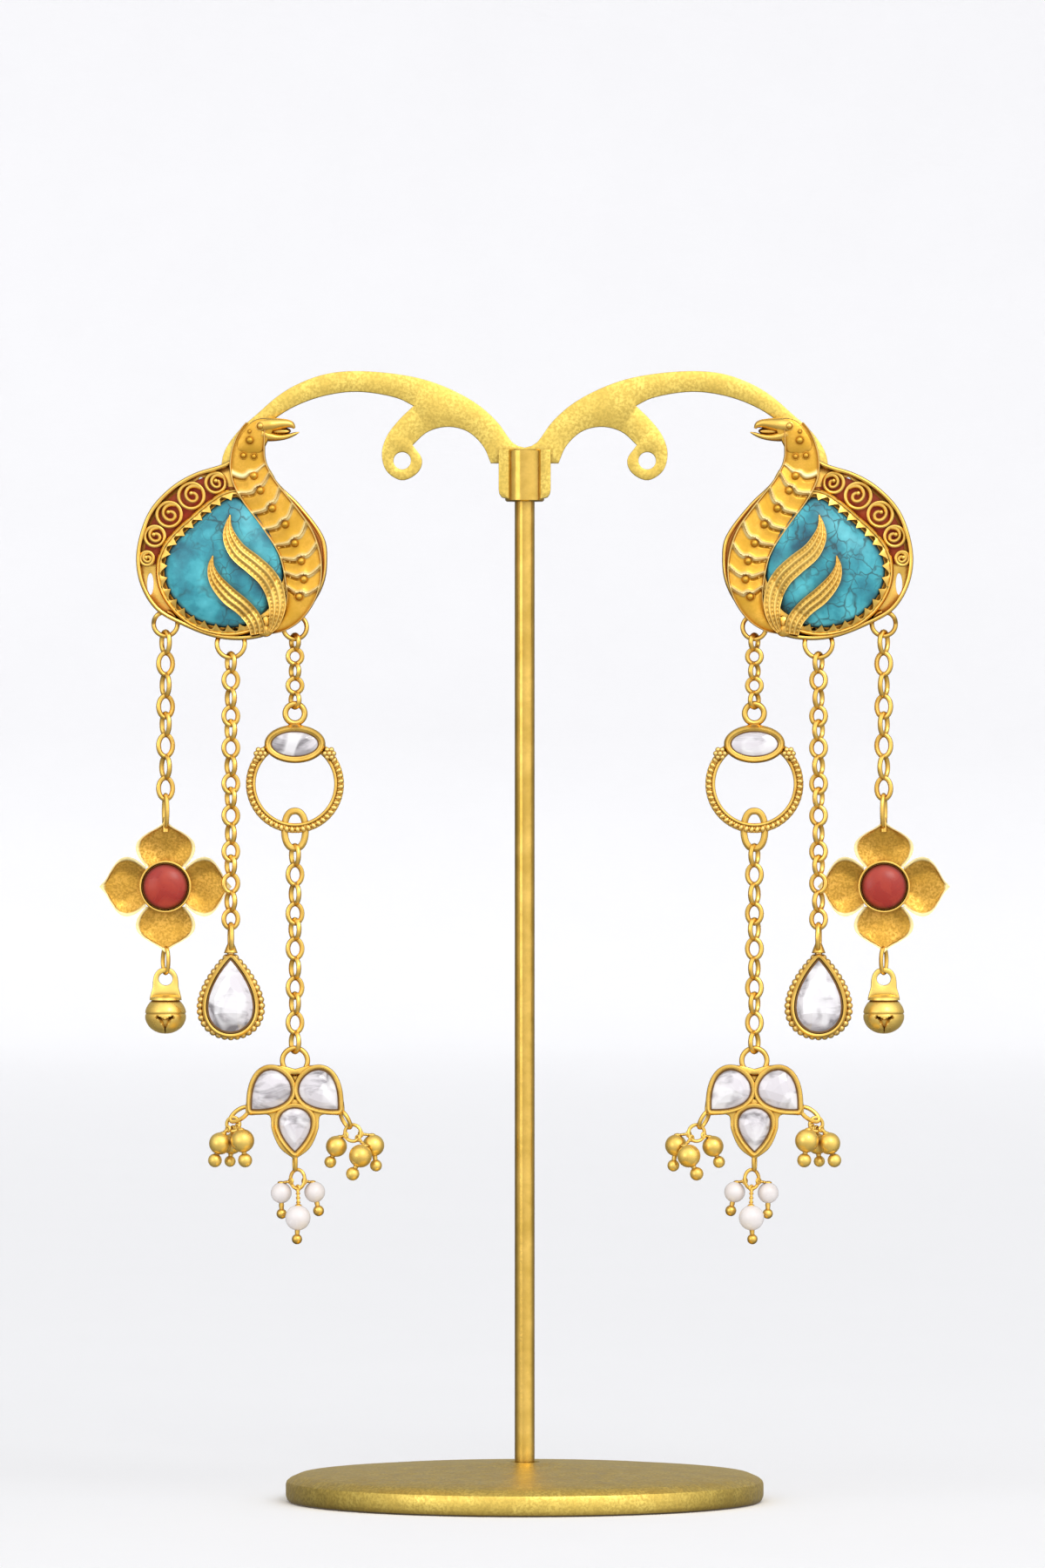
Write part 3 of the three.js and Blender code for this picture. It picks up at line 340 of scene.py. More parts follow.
def step(low, high, value):
    """Smooth rise from 0 at low to 1 at high."""
    share = min(max((value - low) / (high - low), 0.0), 1.0)
    return share * share * (3 - 2 * share)


# ---- shaping ---------------------------------------------------------------
def fresh():
    """Empty mesh with a layer of wear and painted light: above 0 it marks pale ridges, partly polished wear
    and partly painted highlight; below 0 it marks painted shade.
    """
    bm = bmesh.new()
    bm.verts.layers.float.new("polish")
    return bm


@contextmanager
def painted(bm, index):
    """The faces that are made inside this block take the piece's finish of this number."""
    before = set(bm.faces)
    yield
    for f in set(bm.faces) - before:
        f.material_index = index


def skin(bm, rings, closed=False, caps=True):
    """Grid laid over a row of closed rings of (x, y, z) or (x, y, z, wear and painted light), all with the
    same count.
    """
    polish = bm.verts.layers.float["polish"]
    around = len(rings[0])
    along = len(rings) if closed else len(rings) - 1
    made = bmesh.ops.create_grid(bm, x_segments=around, y_segments=along, size=1.0)["verts"]
    for v in made:
        i = round((v.co.x + 1) / 2 * around) % around
        j = round((v.co.y + 1) / 2 * along) % len(rings)
        v.co = rings[j][i][:3]
        if len(rings[j][i]) == 4:
            v[polish] = rings[j][i][3]
    bmesh.ops.remove_doubles(bm, verts=made, dist=NEAR)
    made = [v for v in made if v.is_valid]
    if not closed and caps:
        open_edges = {e for v in made for e in v.link_edges if e.is_boundary}
        if open_edges:
            bmesh.ops.holes_fill(bm, edges=list(open_edges), sides=0)
    return made


def moulding(bm, outline, section):
    """Sweeps a section of (offset, y) pairs along a closed outline."""
    loops = [grown(outline, away) for away, _ in section]
    rings = [[(loops[k][i][0], section[k][1], loops[k][i][1]) for k in range(len(section))]
             for i in range(len(outline))]
    skin(bm, rings, closed=True)


def painted_shade_line(bm, outline, outer, inner, back, front):
    """Narrow strip of painted shade in the seat between a stone and its border."""
    with painted(bm, 1):
        moulding(bm, outline, [(outer, back), (outer, front), (inner, front), (inner, back)])


def plate(bm, outline, back, front, edge, holes=()):
    """Flat plate with softened edges, and holes cut through it."""
    walls = []
    for loop, out in [(outline, -1)] + [(h, 1) for h in holes]:
        steps = [(edge, front), (0.3 * edge, front + 0.3 * edge), (0, front + edge),
                 (0, back - edge), (0.3 * edge, back - 0.3 * edge), (edge, back)]
        rings = []
        for away, y in steps:
            rings.append([(x, y, z) for x, z in grown(loop, out * away)])
        walls += skin(bm, rings, caps=False)
    for y in (front, back):
        rim = {e for v in walls for e in v.link_edges
               if e.is_boundary and all(abs(w.co.y - y) < NEAR for w in e.verts)}
        bmesh.ops.triangle_fill(bm, use_beauty=True, use_dissolve=False, edges=list(rim))


def turned(bm, profile, centre, steps, axis="Z"):
    """Turns a profile of (radius, height) pairs about the upright or the fore-and-aft axis."""
    before = set(bm.verts)
    line = [bm.verts.new((r, 0, h)) for r, h in profile]
    edges = [bm.edges.new(pair) for pair in zip(line, line[1:])]
    bmesh.ops.spin(bm, geom=line + edges, cent=(0, 0, 0), axis=(0, 0, 1), angle=2 * math.pi, steps=steps,
                   use_merge=True)
    verts = [v for v in bm.verts if v not in before]
    bmesh.ops.remove_doubles(bm, verts=verts, dist=NEAR)
    verts = [v for v in verts if v.is_valid]
    if axis == "Y":
        bmesh.ops.rotate(bm, verts=verts, cent=(0, 0, 0), matrix=Matrix.Rotation(math.pi / 2, 3, "X"))
    bmesh.ops.translate(bm, verts=verts, vec=centre)
    return verts


def ring(bm, centre, half_width, half_height, wire, turn=0.0, steps=22, sides=9, tilt=0.0, box=1.0):
    """Oval of round wire that faces the front, turned about its upright axis and then tilted.

    A `box` below 1 fills its corners.
    """
    wide, high = half_width - wire, half_height - wire
    lean = Matrix.Rotation(tilt, 3, "Y")
    across = lean @ Vector((math.cos(turn), math.sin(turn), 0))
    outward = lean @ Vector((-math.sin(turn), math.cos(turn), 0))
    up = lean @ Vector((0, 0, 1))
    rings = []
    for t in full_turn(steps):
        flat, tall = (math.copysign(abs(c) ** box, c) for c in (math.cos(t), math.sin(t)))
        middle = Vector(centre) + across * wide * flat + up * high * tall
        normal = (across * high * math.cos(t) + up * wide * math.sin(t)).normalized()
        rings.append([middle + normal * wire * math.cos(a) + outward * wire * math.sin(a)
                      for a in full_turn(sides)])
    skin(bm, rings, closed=True)


def tall_ring(bm, x, y, top, low, half_width, wire, **more):
    """Ring whose upper and lower ends are given."""
    ring(bm, (x, y, (top + low) / 2), half_width, (top - low) / 2, wire, **more)


def rod(bm, points, radii, sides=10):
    """Round wire through a few points, its radius given at each."""
    points = [Vector(p) for p in points]
    rings, side = [], None
    for i, p in enumerate(points):
        run = (points[min(i + 1, len(points) - 1)] - points[max(i - 1, 0)]).normalized()
        if side is None:
            side = run.orthogonal().normalized()
        side = (side - run * side.dot(run)).normalized()
        other = run.cross(side)
        rings.append([p + side * radii[i] * math.cos(a) + other * radii[i] * math.sin(a)
                      for a in full_turn(sides)])
    skin(bm, rings)


def ball(bm, x, y, z, radius, stretch=(1, 1, 1), fine=2, polish=0.0, lean=0.0):
    """Bead; a fineness of 2 is for a small grain, 3 and 4 for one that shows its roundness."""
    place = Matrix.Translation((x, y, z)) @ Matrix.Rotation(lean, 4, "Y") @ Matrix.Diagonal((*stretch, 1))
    made = bmesh.ops.create_icosphere(bm, subdivisions=fine, radius=radius, matrix=place)["verts"]
    # the whole bead takes one value of wear and painted light: above 0 a painted highlight makes it pale
    layer = bm.verts.layers.float["polish"]
    for v in made:
        v[layer] = polish


def gem(bm, levels):
    """Cut stone: the hull round several rings of (outline, y)."""
    corners = [bm.verts.new((x, y, z)) for outline, y in levels for x, z in outline]
    hull = bmesh.ops.convex_hull(bm, input=corners)
    loose = [g for g in hull["geom_interior"] if isinstance(g, bmesh.types.BMVert)]
    if loose:
        bmesh.ops.delete(bm, geom=loose, context="VERTS")
    faces = {f for v in corners if v.is_valid for f in v.link_faces}
    edges = {e for f in faces for e in f.edges}
    verts = {v for f in faces for v in f.verts}
    bmesh.ops.dissolve_limit(bm, angle_limit=math.radians(1.5), verts=list(verts), edges=list(edges))


def shrunk(outline, centre, share):
    """An outline drawn in towards a centre."""
    return [(centre[0] + (x - centre[0]) * share, centre[1] + (z - centre[1]) * share) for x, z in outline]


def dome(bm, outline, centre, back, girdle, top, power=2.0, shade_from=0.8):
    """Cabochon with an upright girdle and a rounded front that closes in one point.

    Its outer border gets painted shade from the share `shade_from` of the way out.
    """
    rings = [[(x, back, z) for x, z in shrunk(outline, centre, 0.96)],
             [(x, back - 0.1, z) for x, z in outline]]
    for k in range(21):
        t = k / 20 * math.pi / 2
        share = math.cos(t) ** (2 / power)
        y = girdle + (top - girdle) * math.sin(t) ** (2 / power)
        # painted shade towards the border of the dome
        dark = -step(shade_from, 1.0, share)
        rings.append([(x, y, z, dark) for x, z in shrunk(outline, centre, max(share, 0.0))])
    skin(bm, rings)


# ---- finishing -------------------------------------------------------------
def finish(bm, name, nodes, looks, body="root", sharp=38.0, pair=True):
    """Names the piece, moves it to metres and lets it ride; a pair is mirrored for the left earring."""
    bmesh.ops.remove_doubles(bm, verts=bm.verts, dist=NEAR)
    bmesh.ops.dissolve_degenerate(bm, edges=bm.edges, dist=NEAR / 10)
    bmesh.ops.recalc_face_normals(bm, faces=bm.faces)
    bmesh.ops.scale(bm, verts=bm.verts, vec=(MM, MM, MM))
    for side in ("right", "left") if pair else ("",):
        if side == "left":
            bmesh.ops.scale(bm, verts=bm.verts, vec=(-1, 1, 1))
            bmesh.ops.reverse_faces(bm, faces=bm.faces)
        tail = f"_{side}" if side else ""
        mesh = bpy.data.meshes.new(name + tail)
        bm.to_mesh(mesh)
        for look in looks:
            mesh.materials.append(finish_of(look))
        mesh.shade_smooth()
        mesh.set_sharp_from_angle(angle=math.radians(sharp))
        piece = bpy.data.objects.new(name + tail, mesh)
        bpy.context.scene.collection.objects.link(piece)
        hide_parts(*[n + tail for n in nodes])
        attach(piece, body if body == "root" else body + tail)
    bm.free()


# ---- sizes and colours -----------------------------------------------------
def length(name, description, default):
    """A size that the panel lists."""
    return FloatProperty(name=name, description=description, default=default, min=0.0, unit="LENGTH",
                         precision=5)


def colour(name, description, default):
    """A colour that the panel lists."""
    return FloatVectorProperty(name=name, description=description, default=default, size=3, min=0.0,
                               max=1.0, subtype="COLOR")


class EarringSizes(bpy.types.PropertyGroup):
    link_wire: length("Link wire", "Radius of the wire of the chain links", 0.00029)
    link_width: length("Link width", "Width of a chain link over its wire", 0.0022)
    link_turn: FloatProperty(name="Link turn", description="How far every other link is turned",
                             default=0.96, min=0.0, max=1.6, subtype="ANGLE", unit="ROTATION")
    feather_relief: length("Feather relief", "Height of a feather row over the next one", 0.0003)
    teeth: IntProperty(name="Teeth", description="Teeth of the setting round the turquoise", default=31,
                       min=8, max=60)
    tooth_reach: length("Tooth reach", "How far a tooth reaches in from its rail", 0.0008)
    hoop_grains: IntProperty(name="Hoop grains", description="Grains along the hoop", default=52, min=12,
                             max=120)
    pear_grains: IntProperty(name="Pear grains", description="Grains round the pear setting", default=36,
                             min=12, max=80)
    petal_lip: length("Petal lip", "Width of the raised lip of a petal", 0.0004)


class EarringColours(bpy.types.PropertyGroup):
    gold: colour("Gold", "Matt gold of the earrings", (0.92, 0.56, 0.11))
    # painted shade: the dark tone painted into the gold's hollows and its darkened marks
    gold_recess: colour("Gold recess", "Dark tone in the hollows of the gold", (0.3, 0.125, 0.018))
    brass: colour("Brass", "Satin brass of the stand", (0.93, 0.65, 0.135))
    copper: colour("Copper", "Red-brown side wall of the peacock", (0.56, 0.21, 0.04))
    turquoise: colour("Turquoise", "Blue of the stone", (0.032, 0.33, 0.4))
    vein: colour("Vein", "Veins of the turquoise", (0.02, 0.05, 0.055))
    enamel: colour("Enamel", "Ground between the scrolls", (0.45, 0.045, 0.011))
    coral: colour("Coral", "Red of the round stones", (0.36, 0.018, 0.007))
    crystal: colour("Crystal", "Foiled clear stones", (0.72, 0.68, 0.71))
    pearl: colour("Pearl", "Body of the pearls", (0.8, 0.74, 0.72))
    ground: colour("Ground", "Floor and backdrop", (0.82, 0.812, 0.818))


def sizes():
    return bpy.context.scene.earring_sizes


def tone(name):
    """Colour of a name in the panel's list."""
    return tuple(getattr(bpy.context.scene.earring_colours, name))


def shifted(colour_of, factor, lift=0.0):
    """A colour made darker or lighter by a factor."""
    return tuple(min(1.0, c * factor + lift) for c in colour_of)


# ---- finishes --------------------------------------------------------------
class NodeTree:
    """Small wrapper round a shader node tree that makes and joins its nodes."""

    def __init__(self, owner):
        owner.use_nodes = True
        self.nodes, self.links = owner.node_tree.nodes, owner.node_tree.links

    def add(self, kind, **settings):
        made = self.nodes.new("ShaderNode" + kind)
        for key, value in settings.items():
            setattr(made, key, value)
        return made

    def feed(self, socket, value):
        """Links another node's output to a socket, or sets a number or colour on it."""
        if isinstance(value, bpy.types.NodeSocket):
            self.links.new(value, socket)
        elif socket.type == "RGBA":
            socket.default_value = (*value, 1.0)
        else:
            socket.default_value = value

    def feed_all(self, node, **values):
        for name, value in values.items():
            self.feed(node.inputs[name.replace("_", " ")], value)

    def ramp(self, source, low, high, start=0.0, end=1.0, **settings):
        made = self.add("MapRange", **settings)
        self.feed_all(made, Value=source, From_Min=low, From_Max=high, To_Min=start, To_Max=end)
        return made.outputs["Result"]

    def combine(self, operation, first, second):
        made = self.add("Math", operation=operation)
        self.feed(made.inputs[0], first)
        self.feed(made.inputs[1], second)
        return made.outputs[0]

    def axis(self, source, name):
        made = self.add("SeparateXYZ")
        self.feed(made.inputs[0], source)
        return made.outputs[name]


class Finish(NodeTree):
    """Material whose pattern reads Object coordinates."""

    def __init__(self, name, **sockets):
        self.material = bpy.data.materials.new(name)
        super().__init__(self.material)
        self.surface = self.nodes["Principled BSDF"]
        self.place = self.add("TexCoord").outputs["Object"]
        self.plug(**sockets)

    def plug(self, **sockets):
        """Sets or links inputs of the surface and gives the material back."""
        self.feed_all(self.surface, **sockets)
        return self.material

    def noise(self, scale, detail=3.0, roughness=0.5, distortion=0.0, stretch=None, turn=0.0, output="Fac"):
        made, source = self.add("TexNoise"), self.place
        if stretch:
            mapping = self.add("Mapping")
            self.feed_all(mapping, Vector=source, Scale=stretch, Rotation=(0.0, turn, 0.0))
            source = mapping.outputs["Vector"]
        self.feed_all(made, Vector=source, Scale=scale, Detail=detail, Roughness=roughness,
                      Distortion=distortion)
        return made.outputs[output]

    def mix(self, share, first, second):
        """The first colour where the share is 0 and the second where it is 1."""
        made = self.add("Mix", data_type="RGBA")
        for index, value in ((0, share), (6, first), (7, second)):
            self.feed(made.inputs[index], value)
        return made.outputs[2]

    def bump(self, height, strength, distance):
        made = self.add("Bump")
        self.feed_all(made, Height=height, Strength=strength, Distance=distance)
        return made.outputs["Normal"]

    def polish(self, share=1.0):
        """The mesh's own layer of wear and painted light; a share above 0 reads its pale ridges, partly wear
        and partly painted highlight, a share below 0 reads its painted shade.
        """
        made = self.add("Attribute", attribute_name="polish", attribute_type="GEOMETRY")
        return self.ramp(made.outputs["Fac"], 0.0, math.copysign(1.0, share), 0.0, abs(share))

    def hollows(self, distance, power):
        """Mask for painted shade: 1 in the open and 0 deep in a hollow or close between parts."""
        made = self.add("AmbientOcclusion", samples=8)
        self.feed_all(made, Distance=distance)
        return self.combine("POWER", made.outputs["AO"], power)

    def wandering(self, scale, amount):
        """Object coordinates that wander by a small amount."""
        made = self.add("Mix", data_type="VECTOR")
        wander = self.noise(scale, detail=2.0, output="Color")
        for index, value in ((0, amount), (4, self.place), (5, wander)):
            self.feed(made.inputs[index], value)
        return made.outputs[1]

    def cell_edges(self, place, scale, width):
        """1 on the borders between irregular cells and 0 inside them."""
        made = self.add("TexVoronoi", feature="DISTANCE_TO_EDGE")
        self.feed_all(made, Vector=place, Scale=scale)
        return self.ramp(made.outputs["Distance"], 0.0, width, 1.0, 0.0)


def metal_finish(name, open_tone, painted_shade_tone, rough, grain, depth, wear, relief=0.35, contrast=0.14,
                 solid=1.0):
    """Metal with a fine grain, cloudy wear, painted shade in its hollows and on its darkened marks, and paler
    ridges that are partly polished wear and partly painted highlight.
    """
    look = Finish(name, Coat_Weight=0.08, Coat_Roughness=0.3)
    fine = look.noise(grain, detail=2, roughness=0.6)
    pale, soft, deep = (shifted(open_tone, *how) for how in ((1.1, 0.03), (0.88,), (1 - contrast,)))
    base = look.mix(look.ramp(look.noise(420, detail=4), 0.35, 0.68), soft, pale)
    base = look.mix(look.ramp(fine, 0.4, 0.6, 0.0, wear), base, deep)
    # painted shade: the hollows and the narrow gaps between parts take the painted shade tone
    base = look.mix(look.hollows(depth, 1.1), painted_shade_tone, base)
    # painted shade where the layer of wear and painted light is below 0
    base = look.mix(look.polish(-0.85), base, shifted(painted_shade_tone, 0.6))
    # pale ridges where that layer is above 0: partly polished wear, partly painted highlight
    base = look.mix(look.polish(0.9), base, RIDGE_WEAR_AND_HIGHLIGHT)
    # the pale ridges are also less metallic, so their painted highlight shows under any lamp
    return look.plug(Base_Color=base, Metallic=look.ramp(look.polish(), 0.0, 1.0, solid, 0.72 * solid),
                     Roughness=look.ramp(look.noise(900), 0.3, 0.7, rough - 0.06, rough + 0.08),
                     Normal=look.bump(fine, relief, 0.00002))


def turquoise_finish():
    """Clouded blue stone with two sizes of dark veins, with painted shade in its hollows and round its
    border.
    """
    look = Finish("turquoise_stone", Coat_Weight=0.12, Coat_Roughness=0.25)
    cloud = look.noise(260, detail=5, roughness=0.55)
    base = look.mix(look.ramp(cloud, 0.3, 0.52), (0.004, 0.095, 0.15), tone("turquoise"))
    base = look.mix(look.ramp(cloud, 0.5, 0.72), base, (0.1, 0.55, 0.62))
    bent = look.wandering(500, 0.0022)
    wide, small = look.cell_edges(bent, 230, 0.045), look.cell_edges(bent, 520, 0.05)
    wide = look.combine("MULTIPLY", wide, look.ramp(look.noise(330, detail=2), 0.38, 0.6))
    small = look.combine("MULTIPLY", small, look.ramp(look.noise(170, detail=2), 0.42, 0.62))
    veins = look.combine("MAXIMUM", wide, small)
    base = look.mix(look.ramp(veins, 0.0, 1.0, 0.0, 0.85), base, tone("vein"))
    # painted shade where the teeth and the setting close over the stone
    base = look.mix(look.hollows(0.0009, 1.2), (0.003, 0.03, 0.045), base)
    # painted shade round the stone's border
    base = look.mix(look.polish(-0.9), base, (0.002, 0.02, 0.028))
    return look.plug(Base_Color=base, Roughness=look.ramp(veins, 0.0, 1.0, 0.4, 0.6),
                     Normal=look.bump(veins, 0.25, -0.00003))


def enamel_finish():
    look = Finish("red_enamel", Specular_IOR_Level=0.2)
    cloud = look.noise(900)
    base = look.mix(look.ramp(cloud, 0.35, 0.65), tone("enamel"), (0.5, 0.1, 0.03))
    # painted shade in the hollows between the scrolls
    base = look.mix(look.hollows(0.0005, 1.0), (0.16, 0.014, 0.005), base)
    return look.plug(Base_Color=base, Roughness=look.ramp(cloud, 0.3, 0.7, 0.28, 0.42),
                     Normal=look.bump(cloud, 0.3, 0.00003))


def coral_finish():
    look = Finish("coral_stone", Specular_IOR_Level=0.5, Subsurface_Weight=0.06, Subsurface_Scale=0.0006)
    cloud = look.noise(420, detail=4, distortion=0.6)
    base = look.mix(look.ramp(cloud, 0.38, 0.64), tone("coral"), (0.45, 0.04, 0.014))
    # painted shade where the bezel closes over the coral
    base = look.mix(look.hollows(0.0006, 1.0), (0.12, 0.008, 0.005), base)
    # painted shade round the coral's border
    base = look.mix(look.polish(-0.9), base, (0.06, 0.006, 0.004))
    return look.plug(Base_Color=base, Roughness=look.ramp(cloud, 0.3, 0.7, 0.24, 0.34),
                     Normal=look.bump(look.noise(2600), 0.12, 0.00002))


def crystal_finish():
    """Uncut foiled stone: milky, with slanting grey streaks."""
    look = Finish("foiled_crystal", Metallic=0.15, Coat_Weight=0.6, Coat_Roughness=0.05)
    streak = look.noise(420, detail=4, roughness=0.6, distortion=0.8, stretch=(0.3, 1.0, 1.0), turn=0.6)
    cloud = look.noise(300, detail=2, distortion=0.6)
    base = look.mix(look.ramp(streak, 0.38, 0.53), (0.24, 0.22, 0.23), tone("crystal"))
    base = look.mix(look.ramp(cloud, 0.46, 0.6, 0.0, 0.85), base, (0.9, 0.88, 0.89))
    # painted shade where the setting closes over the stone
    base = look.mix(look.hollows(0.0004, 0.8), (0.3, 0.25, 0.2), base)
    return look.plug(Base_Color=base, Roughness=look.ramp(cloud, 0.3, 0.7, 0.1, 0.22),
                     Normal=look.bump(streak, 0.15, 0.00004))


def pearl_finish():
    look = Finish("pearl_nacre", Coat_Weight=0.5, Coat_Roughness=0.12, Sheen_Weight=0.15)
    base = look.mix(look.ramp(look.noise(520), 0.35, 0.65), tone("pearl"), (0.84, 0.79, 0.77))
    # painted shade where the pearl is close to its pin and neighbours
    base = look.mix(look.hollows(0.0012, 1.0), (0.45, 0.36, 0.33), base)
    return look.plug(Base_Color=base, Roughness=look.ramp(look.noise(1500), 0.3, 0.7, 0.2, 0.3),
                     Normal=look.bump(look.noise(1800, detail=2), 0.1, 0.00002))


def ground_finish():
    """Matt paper, paler on the floor than on the wall."""
    look = Finish("pale_paper", Specular_IOR_Level=0.2)
    cloud = look.noise(26, detail=5, roughness=0.6)
    fibre = look.noise(210, detail=4, roughness=0.6, stretch=(0.35, 1.0, 1.0))
    base = look.mix(look.ramp(cloud, 0.3, 0.7), shifted(tone("ground"), 0.985), tone("ground"))
    floor = look.ramp(look.axis(look.place, "Z"), 0.0, 0.1, 0.75, 0.0)
    return look.plug(Base_Color=look.mix(floor, base, (0.98, 0.975, 0.98)),
                     Roughness=look.ramp(cloud, 0.3, 0.7, 0.82, 0.95), Normal=look.bump(fibre, 0.35, 0.0004))


# pale tone of the worn ridges, partly polished wear and partly painted highlight
RIDGE_WEAR_AND_HIGHLIGHT = (1.0, 0.86, 0.42)
METALS = {
    # finish: (material, open tone, tone of the painted shade in its hollows, roughness, scale of the grain,
    #          reach of the painted hollow shade, wear, what differs from metal_finish)
    "gold": ("matt_gold", "gold", "gold_recess", 0.27, 5200, 0.0004, 0.3, {}),
    "bright_gold": ("bright_gold", (0.96, 0.62, 0.13), "gold_recess", 0.3, 4200, 0.0004, 0.12,
                    {"solid": 0.78}),
    "satin_gold": ("satin_gold", (0.72, 0.39, 0.055), "gold_recess", 0.42, 3600, 0.0006, 1.0,
                   {"relief": 2.0, "contrast": 0.3}),
    "warm_gold": ("warm_gold", (0.76, 0.41, 0.042), (0.34, 0.14, 0.014), 0.4, 4200, 0.0004, 0.5,
                  {"relief": 0.7}),
    # a dark finish that is painted shade: the seats round the stones and the inside of the beak
    "dark_edge": ("dark_edge", (0.22, 0.11, 0.035), (0.05, 0.02, 0.006), 0.5, 3800, 0.0005, 0.4, {}),
    "copper": ("copper_wall", "copper", (0.1, 0.025, 0.008), 0.4, 4800, 0.0006, 0.3, {}),
    "brass": ("satin_brass", "brass", (0.3, 0.17, 0.04), 0.38, 3000, 0.0008, 1.0,
              {"relief": 1.2, "contrast": 0.25}),
    "bright_brass": ("bright_brass", (0.7, 0.44, 0.08), (0.2, 0.1, 0.02), 0.17, 3600, 0.0012, 0.1, {}),
}
FINISHES = {
    "turquoise": turquoise_finish, "enamel": enamel_finish, "coral": coral_finish,
    "crystal": crystal_finish, "pearl": pearl_finish, "ground": ground_finish,
}
MADE = {}


def finish_of(name):
    """The material of a finish, made when a piece first asks for it."""
    if name not in MADE and name in METALS:
        material, open_tone, painted_shade_tone, *row, more = METALS[name]
        tones = [tone(t) if isinstance(t, str) else t for t in (open_tone, painted_shade_tone)]
        MADE[name] = metal_finish(material, *tones, *row, **more)
    elif name not in MADE:
        MADE[name] = FINISHES[name]()
    return MADE[name]


# ---- stand pieces ----------------------------------------------------------
def make_base():
    """Weighted foot with a rounded edge and a socket for the post."""
    bm = fresh()
    r, h = BASE_RADIUS, BASE_HEIGHT
    turned(bm, [
        (0, 0), (r - 0.7, 0), (r - 0.2, 0.2), (r, 0.7), (r, h - 2.5), (r - 0.12, h - 2.15),
        (r - 0.5, h - 1.85), (r - 1.2, h - 1.55), (r - 1.5, h - 1.42), (r - 6, h - 1.05), (8.0, h - 0.42),
        (4.2, h - 0.16), (3.6, h - 0.02), (3.2, h), (1.75, h), (1.5, h - 0.25), (1.45, h - 3.0),
        (0, h - 3.0),
    ], (0, 0, 0), steps=96)
    finish(bm, "stand_foot", ["stand_base"], ["brass"], pair=False, sharp=30)


def make_post():
    """Upright rod with softened ends."""
    bm = fresh()
    r = POST_RADIUS
    turned(bm, [(0, POST_FOOT), (r - 0.2, POST_FOOT), (r, POST_FOOT + 0.2), (r, 40), (r, 80),
                (r, POST_TOP - 0.2), (r - 0.2, POST_TOP), (0, POST_TOP)], (0, 0, 0), steps=40)
    finish(bm, "stand_rod", ["stand_post"], ["bright_brass"], pair=False, sharp=30)


def make_collar():
    """Sleeve slotted for the arm plate, so that each half of it is a shell of its own, with two ears."""
    bm = fresh()
    r, low, high, bore = COLLAR_RADIUS, COLLAR_BOTTOM, COLLAR_TOP, POST_RADIUS + GAP
    cut = ARM_THICKNESS / 2 + GAP
    outer, inner = math.asin(cut / r), math.asin(cut / bore)
    with painted(bm, 1):
        for side in (-1, 1):
            rings = []
            for k in range(25):
                a, b = (side * (start + (math.pi - 2 * start) * k / 24) for start in (outer, inner))
                out = (r * math.cos(a), r * math.sin(a))
                hole = (bore * math.cos(b), bore * math.sin(b))
                edge = (0.94 * out[0], 0.94 * out[1])
                rings.append([(*hole, low + 3.9), (*hole, high), (*edge, high), (*out, high - 0.15),
                              (*out, low + 3.9)])
            skin(bm, rings)
        turned(bm, [(bore, low + 4.0), (bore, low), (r - 0.15, low), (r, low + 0.15), (r, low + 4.0),
                    (bore, low + 4.0)], (0, 0, 0), steps=48)
    for side in (-1, 1):
        x0, x1 = side * (r - 0.5), side * COLLAR_HALF
        for top, back, front, edge in ((high, -0.92, -1.3, 0.08), (high, 1.3, 0.92, 0.08),
                                       (low + 3.7, 0.96, -0.96, 0.05)):
            loop = [(x0, top), (x0, low + 0.3), (x1 - side, low + 0.3), (x1 - side * 0.35, low + 0.5),
                    (x1 - side * 0.08, low + 0.9), (x1, low + 1.4), (x1, top)]
            plate(bm, loop[::side], back, front, edge)
    finish(bm, "stand_sleeve", ["stand_collar"], ["brass", "bright_brass"], pair=False,
           sharp=30)


def make_arms():
    """Scrolled arm plate with pierced pads and curls."""
    bm = fresh()
    half = (smooth_line(ARM_TOP_EDGE, 70) + smooth_line(ARM_LOWER_EDGE, 40)[1:-1]
            + smooth_line(ARM_CURL_EDGE, 40)[:-1] + smooth_line(ARM_INNER_EDGE, 24))
    outline = half + [(-x, z) for x, z in reversed(half[1:])]
    holes = []
    for side in (-1, 1):
        holes.append(oval(side * CURL[0], CURL[1], 1.0, 1.0, 36))
        holes.append(oval(side * PAD[0], PAD[1], 0.75, 0.75, 24))
    front = -ARM_THICKNESS / 2
    plate(bm, outline, -front, front, holes=holes, edge=0.1)
    finish(bm, "stand_crosspiece", ["stand_arms"], ["brass"], pair=False, sharp=30)


# ---- peacock ---------------------------------------------------------------
STONE_LINE = smooth_line(STONE_EDGE, 96, closed=True)


def stone_front(x, z):
    """Height of the domed turquoise at a point, and of its border beyond it."""
    def bearing(p):
        return math.atan2(p[1] - STONE_CENTRE[1], p[0] - STONE_CENTRE[0])

    away = bearing((x, z))
    edge = min(STONE_LINE, key=lambda p: abs(math.remainder(bearing(p) - away, 2 * math.pi)))
    ratio = min(1.0, math.dist((x, z), STONE_CENTRE) / math.dist(edge, STONE_CENTRE))
    return STONE_GIRDLE - 0.05 + (STONE_TOP - STONE_GIRDLE) * math.sqrt(1 - ratio * ratio)


